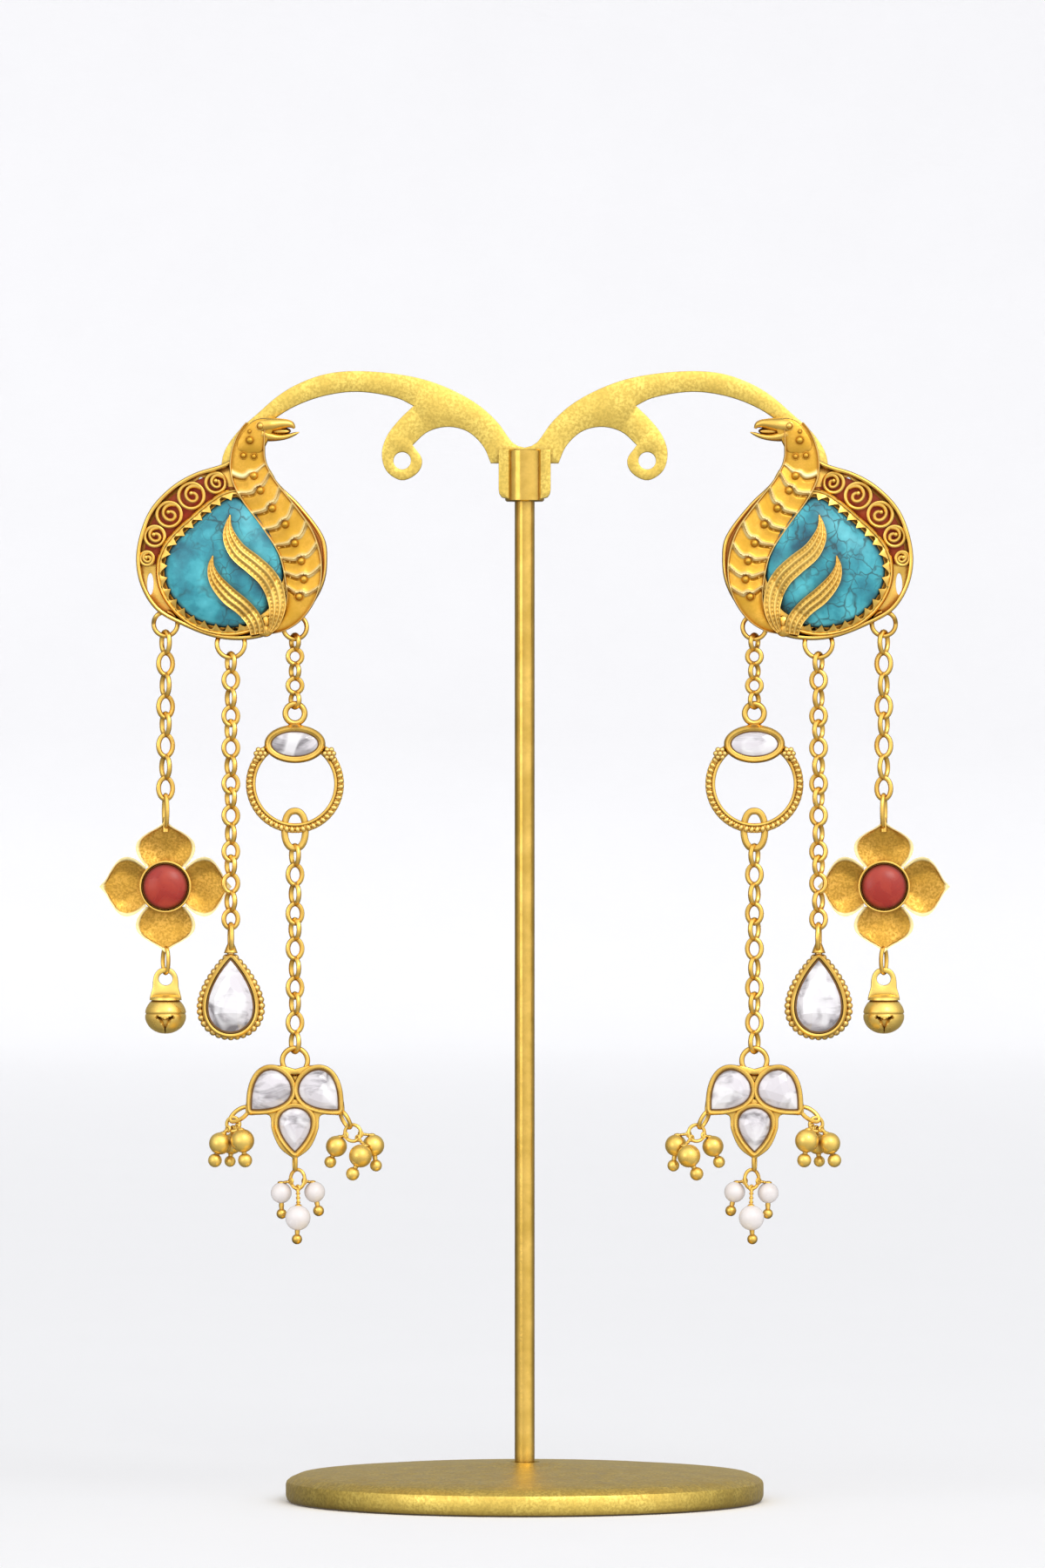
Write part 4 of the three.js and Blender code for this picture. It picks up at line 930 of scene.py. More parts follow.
def feather(way, v, side, rows, total):
    """Relief and painted light of the neck's feather rows: how far it rises, where its ridges are pale with
    wear and painted highlight, and where painted shade darkens it.

    `way` is the distance run along the neck, v goes from -1 to 1 across it and `side` says which of its
    edges is the outer one. A row bows back at both edges and lies over the next one with a bright lip.
    """
    arm = 1.35 * abs(v) ** 1.4 if side * v < 0 else 0.95 * abs(v) ** 1.5
    place = way + 0.12 + arm + 0.45 * math.exp(-(v / 0.24) ** 2)
    shade = 1 - step(total - 1.9, total - 0.7, way)
    # side of the row where the grooves are deeper and carry heavier painted shadow
    heavy = 0.1 + 0.9 * step(0.0, 0.4, v if side > 0 else -v)
    done, ahead = [r for r in rows if r <= place], [r for r in rows if r > place]
    rise, polish = 0.0, 0.0
    if done and ahead:
        along = (place - done[-1]) / (ahead[0] - done[-1])
        rise += sizes().feather_relief / MM * shade * along ** 1.3
        # painted shade in the hollow of each row, darkest midway between two ridges
        polish -= 0.3 * shade * (0.4 + 0.6 * heavy) * math.sin(math.pi * min(1.0, along * 1.15)) ** 2
    for off in (place - r for r in rows if abs(place - r) < 0.8):
        ridge = math.exp(-(off / ROW_RIDGE[1]) ** 2) * shade
        groove = math.exp(-((off - ROW_STEP) / ROW_GROOVE[1]) ** 2) * shade * heavy
        rise += ROW_RIDGE[0] * ridge - ROW_GROOVE[0] * groove
        # pale ridge, partly wear and partly painted highlight, and painted shadow in the groove below it
        polish += 1.7 * ridge - 0.5 * groove
    return rise, polish


def neck(bm):
    """Raised band with lips on both sides, feather rows and a boss in each."""
    run = stations(smooth_line(NECK_LINE, 330))
    length_run = run[-1][2]
    rows = [min(run, key=lambda r: math.dist(r[0][:2], boss))[2] for boss in NECK_BOSSES]
    rings = []
    for (x, z, half), (sx, sz), way in run:
        loop = []
        for v in across_steps(60):
            lip = step(0.86, 0.92, abs(v))
            rise, polish = feather(way, v, sx, rows, length_run)
            y = (NECK_FRONT - 0.2 * (1 - v * v) - rise) * (1 - lip)
            y += (LIP_FRONT + 0.2 * step(0.97, 1.0, abs(v))) * lip
            # the lips are painted pale: partly wear, partly painted highlight
            polish = polish * (1 - lip) + 0.45 * lip * (1 - step(0.96, 0.99, abs(v)))
            loop.append((x + sx * v * half, y, z + sz * v * half, polish))
        loop += [(x + sx * v * half, NECK_BACK, z + sz * v * half) for v in (1, -1)]
        rings.append(loop)
    skin(bm, rings)
    for x, z in NECK_BOSSES:
        ball(bm, x, -3.22, z, 0.48, stretch=(1, 1.2, 1), fine=3)
        ring(bm, (x, -3.1, z), 0.62, 0.62, 0.1, steps=24, sides=6)
    for x, z, r in HEAD_BALLS:
        ball(bm, x, -3.32, z, r, fine=3)
        ring(bm, (x, -3.15, z), r + 0.15, r + 0.15, 0.08, steps=20, sides=6)


def beak(bm, line, depth):
    """Upper or lower half of the beak, swept along its middle line."""
    rings = []
    for (x, z, half), (sx, sz), _ in stations(smooth_line(line, 26)):
        deep = min(half * 1.05 + 0.12, depth)
        rings.append([(x + sx * half * math.cos(a), BEAK_Y + deep * math.sin(a), z + sz * half * math.cos(a))
                      for a in full_turn(18)])
    skin(bm, rings)


def plume(bm, line):
    """Ridged feather that lies on the stone, with a line of grains in each groove."""
    rings = []
    run = stations(smooth_line(line, 150))
    for (x, z, half), (sx, sz), way in run:
        share = way / run[-1][2]
        over = 0.85 * (step(0.4, 0.66, share) - 0.3 * step(0.86, 1.0, share))
        wide = min(1.0, half / 0.8)
        grain = 0.5 + 0.5 * math.cos(2 * math.pi * way / PLUME_GRAIN)

        def at(v, rise):
            """Point at a place v across the feather, raised over the stone or the rim under it."""
            px, pz = x + sx * v * half, z + sz * v * half
            return px, min(stone_front(px, pz), STONE_GIRDLE - over) - rise, pz

        loop = []
        for v in across_steps(36):
            ridge = 0.5 + 0.5 * math.cos(3 * math.pi * (v - 1))
            groove = step(0.6, 0.95, 1 - ridge) if abs(v) < 0.9 else 0
            # painted shade along each groove, broken into dots by its grains, and a faint painted highlight
            # on the ridges
            polish = 0.12 * step(0.4, 0.9, ridge) - 0.5 * groove * (1 - 0.7 * grain) * wide
            loop.append((*at(v, 0.3 + wide * (0.2 * ridge + 0.05 * grain * groove)), polish))
        rings.append(loop + [at(1, -0.25), at(-1, -0.25)])
    skin(bm, rings)


def toothed_setting(bm):
    """Rail with teeth that bend in over the stone, and lower ones where the neck hides them."""
    teeth, reach = sizes().teeth, sizes().tooth_reach / MM
    line = smooth_line(STONE_EDGE, teeth * len(TOOTH), closed=True)
    section = [(0.45, PLATE_BACK - 0.4), (1.34, PLATE_BACK - 0.4), (1.34, -2.7), (1.27, -2.92),
               (1.13, -3.06), (1.0, -3.04), (0.9, -2.9)]
    base = [grown(line, away) for away, _ in section]
    rings = []
    for i, p in enumerate(line):
        turn = math.degrees(math.atan2(p[1] - STONE_CENTRE[1], p[0] - STONE_CENTRE[0])) % 360
        hidden = step(96, 104, turn) * (1 - step(246, 254, turn))
        share = TOOTH[i % len(TOOTH)]
        away = 0.82 - 0.6 * hidden - share * (reach * (1 - hidden) + 0.4 * hidden)
        y = -2.86 - share * (0.5 - 0.2 * hidden)
        tip, under = grown(line, away)[i], grown(line, away + 0.06)[i]
        rings.append([(loop[i][0], depth, loop[i][1]) for loop, (_, depth) in zip(base, section)]
                     + [(tip[0], y, tip[1]), (under[0], y + 0.22, under[1])])
    skin(bm, rings, closed=True)


def scroll(bm, x, z, radius, turn):
    """Round wire eye with a spiral that runs into its middle."""
    ring(bm, (x, SCROLL_Y, z), radius, radius, SCROLL_WIRE, steps=36)
    points, radii = [], []
    for t in (i / 45 for i in range(46)):
        a = turn - 2 * math.pi * 1.15 * t
        reach = (radius - SCROLL_WIRE) * (1 - 0.8 * t ** 0.6)
        points.append((x - 0.16 * radius * math.sin(math.pi * t) + reach * math.cos(a),
                       SCROLL_Y - 0.12 * t, z + reach * math.sin(a)))
        radii.append(SCROLL_WIRE * (1 - 0.2 * t))
    rod(bm, points, radii, sides=9)
    ball(bm, *points[-1], 0.27, fine=3)


def loop_below(bm, x, y, z, radius):
    """Ring that hangs from the body, with its upper ends sunk behind the rim."""
    points = []
    for i in range(41):
        t = math.radians(-260 + 340 * i / 40)
        up = step(0.0, 0.7, math.sin(t))
        points.append((x + radius * math.cos(t), y + (PLATE_FRONT - 0.25 - y) * up, z + radius * math.sin(t)))
    rod(bm, points, [LOOP_WIRE] * len(points), sides=12)


def body(bm):
    """Pierced back plate, rim moulding and neck, with red walls and a wire along the outer side."""
    outline = smooth_line(BODY_EDGE, 150, closed=True)
    crescent, slit = oval(43.05, 105.5, 0.38, 1.25, 24), oval(37.2, 117.35, 0.32, 0.42, 16)
    plate(bm, grown(outline, -0.2), PLATE_BACK, PLATE_FRONT, edge=0.05, holes=[crescent, slit])
    for f in bm.faces:
        middle = f.calc_center_median()
        f.material_index = 1 if middle.y < -1.0 and middle.x < 31 else 0
    before = set(bm.faces)
    moulding(bm, outline, [(0, PLATE_BACK - 0.05), (0, -2.62), (-0.1, -2.82), (-0.26, -2.9), (-0.42, -2.84),
                           (-0.52, -2.66), (-0.52, -1.3), (-0.4, PLATE_BACK - 0.3)])
    neck(bm)
    for f in set(bm.faces) - before:
        f.normal_update()
        depth = f.calc_center_median().y
        if depth < NECK_FRONT:
            f.material_index = 2
        if abs(f.normal.y) < 0.35 and -2.7 < depth < -1.0:
            f.material_index = 1
    with painted(bm, 1):
        strip = [q for q, o in zip(grown(outline, -0.72), outline) if o[0] < 29.2 and 101.6 < o[1] < 118.2]
        strip.sort(key=lambda q: q[1])
        rod(bm, [(x, SIDE_WIRE_Y, z) for x, z in strip], [0.42] * len(strip))


def head(bm):
    """Parted beak round a mouth filled with painted shade, with a tongue and an eye."""
    beak(bm, UPPER_BEAK, 1.0)
    beak(bm, LOWER_BEAK, 0.8)
    with painted(bm, 2):
        plate(bm, smooth_line(HEAD_EDGE, 90, closed=True), PLATE_FRONT, -3.2, edge=0.3)
    # a dark piece inside the beak that stands in for the shade in the open mouth
    with painted(bm, 3):
        ball(bm, 28.2, -2.1, 123.05, 0.5, stretch=(2.7, 0.7, 1.0), fine=4)
    ball(bm, 28.1, -2.4, 123.0, 0.27, stretch=(3.9, 0.8, 1.0), fine=4)
    ball(bm, EYE[0], -3.25, EYE[1], 0.4, fine=3)
    ring(bm, (EYE[0], -3.15, EYE[1]), 0.6, 0.58, 0.12, steps=24, sides=7)


def make_peacock():
    """Body, setting, scrolls, plumes, head, loops and ear post in one piece."""
    bm = fresh()
    body(bm)
    toothed_setting(bm)
    for x, z, radius, turn in SCROLLS:
        scroll(bm, x, z, radius, turn)
    for line in PLUMES:
        plume(bm, line)
    # solder that fills the foot of the plumes
    ball(bm, 29.8, -2.9, 100.1, 0.6, stretch=(1.5, 0.8, 1.2), fine=4)
    ball(bm, 29.7, -2.6, 101.1, 0.7, stretch=(1.2, 0.8, 1.3), fine=4)
    head(bm)
    for x, y, z, radius in LOOPS.values():
        loop_below(bm, x, y, z, radius)
    ear_post = [(PAD[0], y, PAD[1]) for y in (PLATE_BACK - 0.1, 3.2, 3.5)]
    rod(bm, ear_post, [POST_WIRE, POST_WIRE, 0.25], sides=16)
    finish(bm, "peacock", ["peacock_frame"], ["gold", "copper", "warm_gold", "dark_edge"],
           sharp=34)


def make_turquoise():
    """Pear-shaped cabochon, sunk a little under its teeth."""
    bm = fresh()
    # painted shade round the border of the stone
    dome(bm, grown(STONE_LINE, 0.36), STONE_CENTRE, STONE_BACK, STONE_GIRDLE + 0.3, STONE_TOP, power=2.3,
         shade_from=0.92)
    finish(bm, "turquoise_cabochon", ["turquoise"], ["turquoise"])


def make_enamel():
    """Ground between the rim and the rail of the setting."""
    bm = fresh()
    centre = Vector(STONE_CENTRE)
    outer = [Vector(p) for p in smooth_line(RIM_LINE, 40)]
    outer = [tuple(p - (p - centre).normalized() * 0.5) for p in outer]
    edge = grown(STONE_LINE, 1.28)
    near = [min(edge, key=lambda q: math.dist(p, q)) for p in outer]
    kept = near[:1]
    for p in near:
        if math.dist(p, kept[-1]) > 0.2:
            kept.append(p)
    plate(bm, outer[1:] + kept[::-1], PLATE_FRONT - 0.02, -1.9, edge=0.04)
    finish(bm, "enamel_ground", ["enamel"], ["enamel"])


def make_nut():
    """Flat round nut with a fluted edge."""
    bm = fresh()
    verts = turned(bm, [
        (0.6, 0.9), (1.5, 0.9), (1.75, 1.0), (2.0, 1.2), (2.0, 1.75), (1.8, 2.1), (1.3, 2.26), (1.0, 2.3),
        (0.6, 2.3), (0.6, 0.9),
    ], (0, 0, 0), steps=64)
    for v in verts:
        if v.co.xy.length > 1.7:
            flute = 0.5 + 0.5 * math.cos(16 * math.atan2(v.co.y, v.co.x))
            v.co.xy *= 1 - 0.035 * flute
    bmesh.ops.rotate(bm, verts=verts, cent=(0, 0, 0), matrix=Matrix.Rotation(-math.pi / 2, 3, "X"))
    bmesh.ops.translate(bm, verts=verts, vec=(PAD[0], 0, PAD[1]))
    finish(bm, "ear_nut", ["back_nut"], ["bright_gold"], sharp=30)


# ---- chains ----------------------------------------------------------------
def make_chain(name, x, y, start, end, count, breaks=()):
    """Links from the inner lower face of one ring to the inner upper face of the next.

    A break after a link starts the next of the stretches that the chain is kept in.
    """
    wire, width, link_turn = sizes().link_wire / MM, sizes().link_width / MM, sizes().link_turn
    fused = count - 1 - len(breaks)
    inner = (start - end + (2 + len(breaks)) * GAP - fused * FUSE) / count
    middle = start + GAP - inner / 2
    first = 1
    for stretch, last in enumerate([*breaks, count], 1):
        bm = fresh()
        for i in range(first - 1, last):
            lean = 0.04 * math.sin(2.4 * i + x)
            turn = (-0.14 if i % 2 else link_turn) + lean
            ring(bm, (x, y, middle), width / 2, inner / 2 + CROWN - 0.02, wire, turn=turn, steps=24)
            middle -= inner - GAP if i + 1 == last else inner + FUSE
        part = f"{name}_{stretch}" if breaks else name
        finish(bm, f"links_{part}", [f"chain_{part}"], ["gold"])
        first = last + 1


def make_chains():
    """The four chain lines of each earring."""
    def floor_of(name):
        _, _, z, radius = LOOPS[name]
        return z - radius - RING_WIRE + CROWN

    def top_of(z, radius):
        return z + radius + RING_WIRE - CROWN

    make_chain("inner_upper", INNER_X, INNER_Y, floor_of("inner"), top_of(HOOP_BAIL_Z, HOOP_BAIL_RADIUS), 5)
    make_chain("centre", CENTRE_X, CENTRE_Y, floor_of("centre"), PEAR_BAIL_TOP - CROWN, 16, [4, 8, 12])
    make_chain("outer", OUTER_X, OUTER_Y, floor_of("outer"), FLOWER_BAIL_TOP - CROWN, 8, [4])
    make_chain("inner_lower", INNER_X, INNER_Y, HOOP_RING_BOTTOM + CROWN,
               top_of(TREFOIL_RING_Z, TREFOIL_RING_RADIUS), 11, [4, 8])


# ---- hoop ------------------------------------------------------------------
def make_hoop():
    """Grained hoop with its oval setting, bail and lower ring, then the oval stone."""
    bm = fresh()
    x, y = INNER_X, INNER_Y
    reach = HOOP_RADIUS + 0.36
    ring(bm, (x, y, HOOP_Z), reach, reach, 0.4, steps=96, sides=14)
    for reach, wire, fwd in ((HOOP_RADIUS + 0.43, 0.13, 0.2), (HOOP_RADIUS - 0.3, 0.2, 0.3)):
        ring(bm, (x, y - fwd, HOOP_Z), reach, reach, wire, steps=110)
    grains, reach = sizes().hoop_grains, HOOP_RADIUS + 0.05
    for t in (2 * math.pi * (i + 0.5) / grains for i in range(grains)):
        if abs(math.remainder(t - math.pi / 2, 2 * math.pi)) > 0.62:
            # each grain is painted pale: a painted highlight
            ball(bm, x + reach * math.cos(t), y - 0.3, HOOP_Z + reach * math.sin(t), 1.0,
                 stretch=(0.41, 0.34, 0.3), fine=3, polish=0.2, lean=0.3 - t)
    outline = oval(x, OVAL_Z, OVAL_HALF_WIDTH, OVAL_HALF_HEIGHT, 72)
    plate(bm, grown(outline, -0.1), y + 0.9, y + 0.1, edge=0.12)
    moulding(bm, outline, [(-0.1, y + 0.85), (0, y + 0.6), (0, y - 0.55), (-0.1, y - 0.86), (-0.26, y - 1.0),
                           (-0.44, y - 0.98), (-0.58, y - 0.84), (-0.74, y - 0.78), (-0.78, y - 0.5),
                           (-0.78, y + 0.3)])
    # painted shade round the oval stone
    painted_shade_line(bm, oval(x, OVAL_Z, *OVAL_STONE, 72), 0.14, -0.07, y - 0.6, y - 0.8)
    reach = HOOP_BAIL_RADIUS + RING_WIRE
    ring(bm, (x, y, HOOP_BAIL_Z), reach, reach, 0.34, steps=36, sides=12)
    rod(bm, [(x, y, z) for z in (OVAL_Z + 1.9, OVAL_Z + 2.2, HOOP_BAIL_Z - reach + 0.25)],
        [1.25, 0.8, 0.42], sides=20)
    tall_ring(bm, x, y, HOOP_RING_TOP, HOOP_RING_BOTTOM, HOOP_RING_WIDTH / 2, 0.4, steps=48, sides=10,
              box=0.86)
    for side in (-1, 1):
        # a cluster of six grains round a seventh on each shoulder
        for k in range(7):
            off, fwd = (0.0, 0.82) if k == 6 else (0.5, 0.62)
            t = math.pi / 3 * k
            # each grain is painted pale: a painted highlight
            ball(bm, x + side * 3.95 + off * math.cos(t), y - fwd, HOOP_Z + 3.5 + off * math.sin(t), 0.31,
                 fine=3, polish=0.3)
    finish(bm, "hoop", ["hoop_setting"], ["gold", "dark_edge"], sharp=34)

    bm = fresh()
    wide, high = OVAL_STONE
    edge, table, crown = (oval(x, OVAL_Z, wide * a, high * b, steps)
                          for a, b, steps in ((1, 1, 18), (0.7, 0.72, 9), (0.42, 0.36, 6)))
    gem(bm, [(edge, y - 0.35), (edge, y - 0.72), (table, y - 0.98), (crown, y - 1.08)])
    finish(bm, "oval_stone", ["oval_crystal"], ["crystal"], sharp=12)


# ---- pear ------------------------------------------------------------------
def make_pear():
    """Grained pear setting with its bail, then its stone."""
    bm = fresh()
    x, y = CENTRE_X, CENTRE_Y
    stone = drop_shape(PEAR_STONE_TOP, PEAR_STONE_BOTTOM, PEAR_STONE_WIDTH, 88)
    outside = drop_shape(PEAR_TOP, PEAR_BOTTOM, PEAR_WIDTH, 88)
    middle = (x, PEAR_BOTTOM + PEAR_WIDTH / 2)
    plate(bm, shrunk(outside, middle, 0.9), y + 0.85, y - 0.25, edge=0.1)
    moulding(bm, stone, [(0.62, y + 0.3), (0.66, y - 0.6), (0.58, y - 0.92), (0.4, y - 1.08), (0.2, y - 1.04),
                         (0.04, y - 0.84), (0.02, y - 0.3), (0.1, y + 0.2)])
    # painted shade round the pear stone
    painted_shade_line(bm, stone, 0.1, -0.1, y - 0.9, y - 1.07)
    for a, b in evenly(shrunk(outside, middle, 0.905), sizes().pear_grains, closed=True):
        # each grain is painted pale: a painted highlight
        ball(bm, a, y - 0.15, b, 0.44, stretch=(1, 1.25, 1), fine=3, polish=0.25)
    low = PEAR_BAIL_BOTTOM
    tall_ring(bm, x, y, PEAR_BAIL_TOP, low, 1.3, 0.3, turn=math.pi / 2 - 0.12, steps=34, sides=10)
    rod(bm, [(x, y, low + 1.25), (x, y - 0.05, low + 0.6), (x, y - 0.1, low + 0.1)], [0.35, 0.62, 0.8],
        sides=16)
    finish(bm, "pear_frame", ["pear_setting"], ["gold", "dark_edge"], body="pear", sharp=34)

    bm = fresh()
    centre = (x, PEAR_STONE_BOTTOM + PEAR_STONE_WIDTH / 2 + 0.3)
    edge = drop_shape(PEAR_STONE_TOP, PEAR_STONE_BOTTOM, PEAR_STONE_WIDTH, 20)
    gem(bm, [(edge, y - 0.5), (edge, y - 1.0), (shrunk(edge[1::2], centre, 0.74), y - 1.55),
             (shrunk(edge[::4], centre, 0.4), y - 1.92)])
    finish(bm, "pear_stone", ["pear_crystal"], ["crystal"], body="pear", sharp=8)


# ---- flower and bell -------------------------------------------------------
def petal(bm, angle):
    """Dished petal with a raised lip; `angle` 0 points up."""
    lip = sizes().petal_lip / MM
    edge = evenly(smooth_line(PETAL_HALF, 90), 90)
    rings = []
    for out in (j / 46 for j in range(47)):
        far = PETAL_ROOT + (PETAL_TIP - PETAL_ROOT) * (1 - (1 - out) ** 1.15)
        half = max(min(edge, key=lambda p: abs(p[0] - far))[1], 0.05)
        front, back = [], []
        for v in across_steps(30):
            v = math.sin(math.pi / 2 * v)
            inset = min(half * (1 - abs(v)), (PETAL_TIP - far) * 0.62)
            bowl = step(0.0, 2.4, inset) * 0.6
            raised = 1 - step(lip * 0.6, lip * 1.1, inset)
            x = OUTER_X + v * half * math.cos(angle) + far * math.sin(angle)
            z = FLOWER_Z - v * half * math.sin(angle) + far * math.cos(angle)
            # the raised lip is painted pale: partly wear, partly painted highlight
            front.append((x, OUTER_Y - 0.18 + bowl - 0.14 * raised, z, 1.1 * raised))
            back.append((x, OUTER_Y + 0.12 + bowl * 0.82, z))
        rings.append(front + back[::-1])
    skin(bm, rings)


def make_flower():
    """Four petals round a bezel with a bail above and a ring below, then the coral."""
    bm = fresh()
    x, y = OUTER_X, OUTER_Y
    with painted(bm, 1):
        for quarter in range(4):
            petal(bm, quarter * math.pi / 2)
    turned(bm, [
        (0, -0.75), (2.7, -0.75), (2.88, -0.5), (2.95, 0.4), (2.94, 0.98), (2.88, 1.13), (2.8, 1.15),
        (2.72, 1.08), (2.68, 0.85), (2.67, 0.42), (0, 0.42),
    ], (x, y, FLOWER_Z), steps=72, axis="Y")
    ring(bm, (x, y - 1.1, FLOWER_Z), 3.0, 3.0, 0.14, steps=80, sides=9)
    low = FLOWER_BAIL_BOTTOM
    tall_ring(bm, x, y, FLOWER_BAIL_TOP, low, 1.1, 0.26, turn=math.pi / 2 - 0.25, steps=36, sides=10)
    rod(bm, [(x, y, low + rise) for rise in (1.5, 0.8, -0.2)], [0.24, 0.42, 0.42], sides=14)
    tall_ring(bm, x, y, FLOWER_RING_TOP, FLOWER_RING_BOTTOM, 0.95, 0.25, turn=math.pi / 2 - 0.5, steps=32,
              sides=10)
    finish(bm, "flower_drop", ["flower"], ["gold", "satin_gold"], body="flower", sharp=34)

    bm = fresh()
    # painted shade round the border of the coral
    dome(bm, oval(x, FLOWER_Z, 2.62, 2.62, 72), (x, FLOWER_Z), y - 0.62, y - 0.9, y - 2.1)
    finish(bm, "coral_cabochon", ["coral"], ["coral"], body="flower")


def bell_cut(turn, rise):
    """Distance of a point on the bell's front from its slits: three arms and a pointed opening."""
    cuts = [abs(turn) if rise < 0 else math.hypot(turn, rise)]
    for across in (turn, -turn):
        if 0 <= across * 0.9 + rise * 0.42 < 1.15:
            cuts.append(abs(rise * 0.9 - across * 0.42))
    if -0.75 < rise < 0.12:
        cuts.append(abs(turn) - 0.62 * (rise + 0.75))
    return min(cuts)


def make_bell():
    """Round bell with a seam, a slit front and a pierced tab."""
    bm = fresh()
    x, y, r, low = OUTER_X, OUTER_Y, BELL_RADIUS, BELL_BOTTOM
    h = BELL_TOP - low
    profile = [(0.0, 0.0)]
    for k in range(1, 48):
        t = math.pi * k / 48 - math.pi / 2
        out, up = r * math.cos(t) ** 0.92, h / 2 + h / 2 * math.sin(t)
        if out > 1.5:
            out += 0.03 - 0.13 * math.exp(-((up - h * 0.53) / 0.11) ** 2)
        profile.append((min(out, r), up))
    profile.append((0.0, h))
    for v in turned(bm, profile, (x, y, low), steps=112):
        dx, dy, rise = v.co.x - x, v.co.y - y, v.co.z - low - SLIT_HUB
        if dy <= 0.2:
            deep = 0.3 * (1 - step(0.05, 0.15, bell_cut(math.atan2(dx, -dy) * r, rise)))
            v.co.x -= dx * deep
            v.co.y -= dy * deep
    turned(bm, [(0.0, 0.35), (1.4, 0.2), (1.8, -0.12), (1.85, -0.4), (0.0, -0.6)],
           (x, y, BELL_TOP - 0.05), steps=48)
    top, foot = BELL_LOOP_TOP, BELL_LOOP_BOTTOM
    side = [(1.78, foot + 0.1), (1.7, foot + 0.8), (1.5, foot + 1.5), (1.46, foot + 2.2), (1.3, foot + 2.95),
            (0.8, top - 0.2)]
    outer = [(x - a, b) for a, b in side] + [(x, top)] + [(x + a, b) for a, b in side[::-1]]
    outer += [(x + 0.8, foot - 0.05), (x - 0.8, foot - 0.05)]
    hole = oval(x, top - 1.32, 0.8, 0.72, 40)
    plate(bm, smooth_line(outer, 84, closed=True), y + 0.45, y - 0.45, holes=[hole], edge=0.2)
    finish(bm, "small_bell", ["bell"], ["bright_gold"], body="flower", sharp=40)


# ---- trefoil ---------------------------------------------------------------
def make_trefoil():
    """Three-lobed frame with its ring and eyes, then the three stones."""
    bm = fresh()
    x, y = INNER_X, INNER_Y
    half = smooth_line(TREFOIL_EDGE, 60)
    outline = [(x + a, b) for a, b in half] + [(x - a, b) for a, b in reversed(half[1:-1])]
    pit = evenly([(x - 0.5, 49.15), (x, 48.1), (x + 0.5, 49.15)], 15, closed=True)
    dot = oval(x, 46.5, 0.2, 0.2, 12)
    plate(bm, outline, y + 0.8, y - 0.5, holes=[pit, dot], edge=0.18)
    plate(bm, oval(x, 47.7, 0.9, 2.0, 24), y + 0.75, y + 0.45, edge=0.04)
    for lobe in LOBES.values():
        border = teardrop(*lobe, 72)
        moulding(bm, border, [
            (0.58, y + 0.1), (0.6, y - 0.45), (0.53, y - 0.68), (0.39, y - 0.79), (0.24, y - 0.77),
            (0.1, y - 0.62), (0.05, y - 0.2), (0.12, y + 0.1),
        ])
        # painted shade round each stone
        painted_shade_line(bm, border, 0.12, -0.07, y - 0.4, y - 0.58)
    reach = TREFOIL_RING_RADIUS + RING_WIRE
    ring(bm, (x, y, TREFOIL_RING_Z), reach, reach, 0.3, steps=34, sides=12)
    for (ex, ez, wide, high, turn, lean), _, _ in CLUSTERS.values():
        ring(bm, (ex, y, ez), wide, high, 0.25, turn=turn, tilt=lean, steps=28)
    finish(bm, "trefoil", ["trefoil_frame"], ["gold", "dark_edge"], body="trefoil", sharp=34)

    for name, lobe in LOBES.items():
        bm = fresh()
        centre, edge = lobe[:2], teardrop(*lobe, 18)
        gem(bm, [(edge, y - 0.15), (edge, y - 0.5), (shrunk(edge[1::2], centre, 0.66), y - 0.95),
                 (shrunk(edge[::6], centre, 0.3), y - 1.12)])
        finish(bm, f"polki_{name}", [f"trefoil_stone_{name}"], ["crystal"], body="trefoil",
               sharp=8)


def hang_drop(metal, beads, top, wide, high, drop):
    """A bead on its pin: from a ring through three coils, a cap and the bead to the end bead."""
    x, y, z, radius, (end_x, end_z, end_radius) = drop
    centre, foot = Vector((x, y, z)), Vector((end_x, y, end_z))
    crown = centre + (centre - foot).normalized() * radius * 0.95
    way = (crown - top).normalized()
    hub = top + Vector((way.x * (wide - 0.2), way.y * 0.3, way.z * (high - 0.2)))
    rod(metal, [hub, hub.lerp(crown, 0.5), crown, centre], [0.17, 0.17, 0.2, 0.2], sides=8)
    for k in range(3):
        ball(metal, *hub.lerp(crown, 0.3 + 0.25 * k), 0.28, stretch=(1, 1, 0.6))
    ring(metal, hub, 0.42, 0.45, 0.15, turn=0.7, steps=18, sides=7)
    ball(metal, *crown, 0.42, stretch=(1, 1, 0.55), fine=3)
    ball(beads, *centre, radius, fine=4)
    rod(metal, [centre, centre.lerp(foot, 0.6), foot], [0.2, 0.3, 0.2])
    ball(metal, *foot, end_radius, fine=3)


def make_clusters():
    """Two bunches of gold beads and one of pearls."""
    titles = {"gold_beads_side": "gold_drops_side", "gold_beads_inner": "gold_drops_inner",
              "pearl_cluster": "pearl_pins"}
    for name, (_, (x, z, wide, high, turn, lean), drops) in CLUSTERS.items():
        pearls = name == "pearl_cluster"
        metal = fresh()
        beads = fresh() if pearls else metal
        ring(metal, (x, INNER_Y, z), wide, high, 0.21, turn=turn, tilt=lean, steps=32)
        for drop in drops:
            hang_drop(metal, beads, Vector((x, INNER_Y, z)), wide, high, drop)
        finish(metal, titles[name], [name], ["gold" if pearls else "bright_gold"], body="trefoil")
        if pearls:
            finish(beads, "pearls", [name], ["pearl"], body="trefoil")


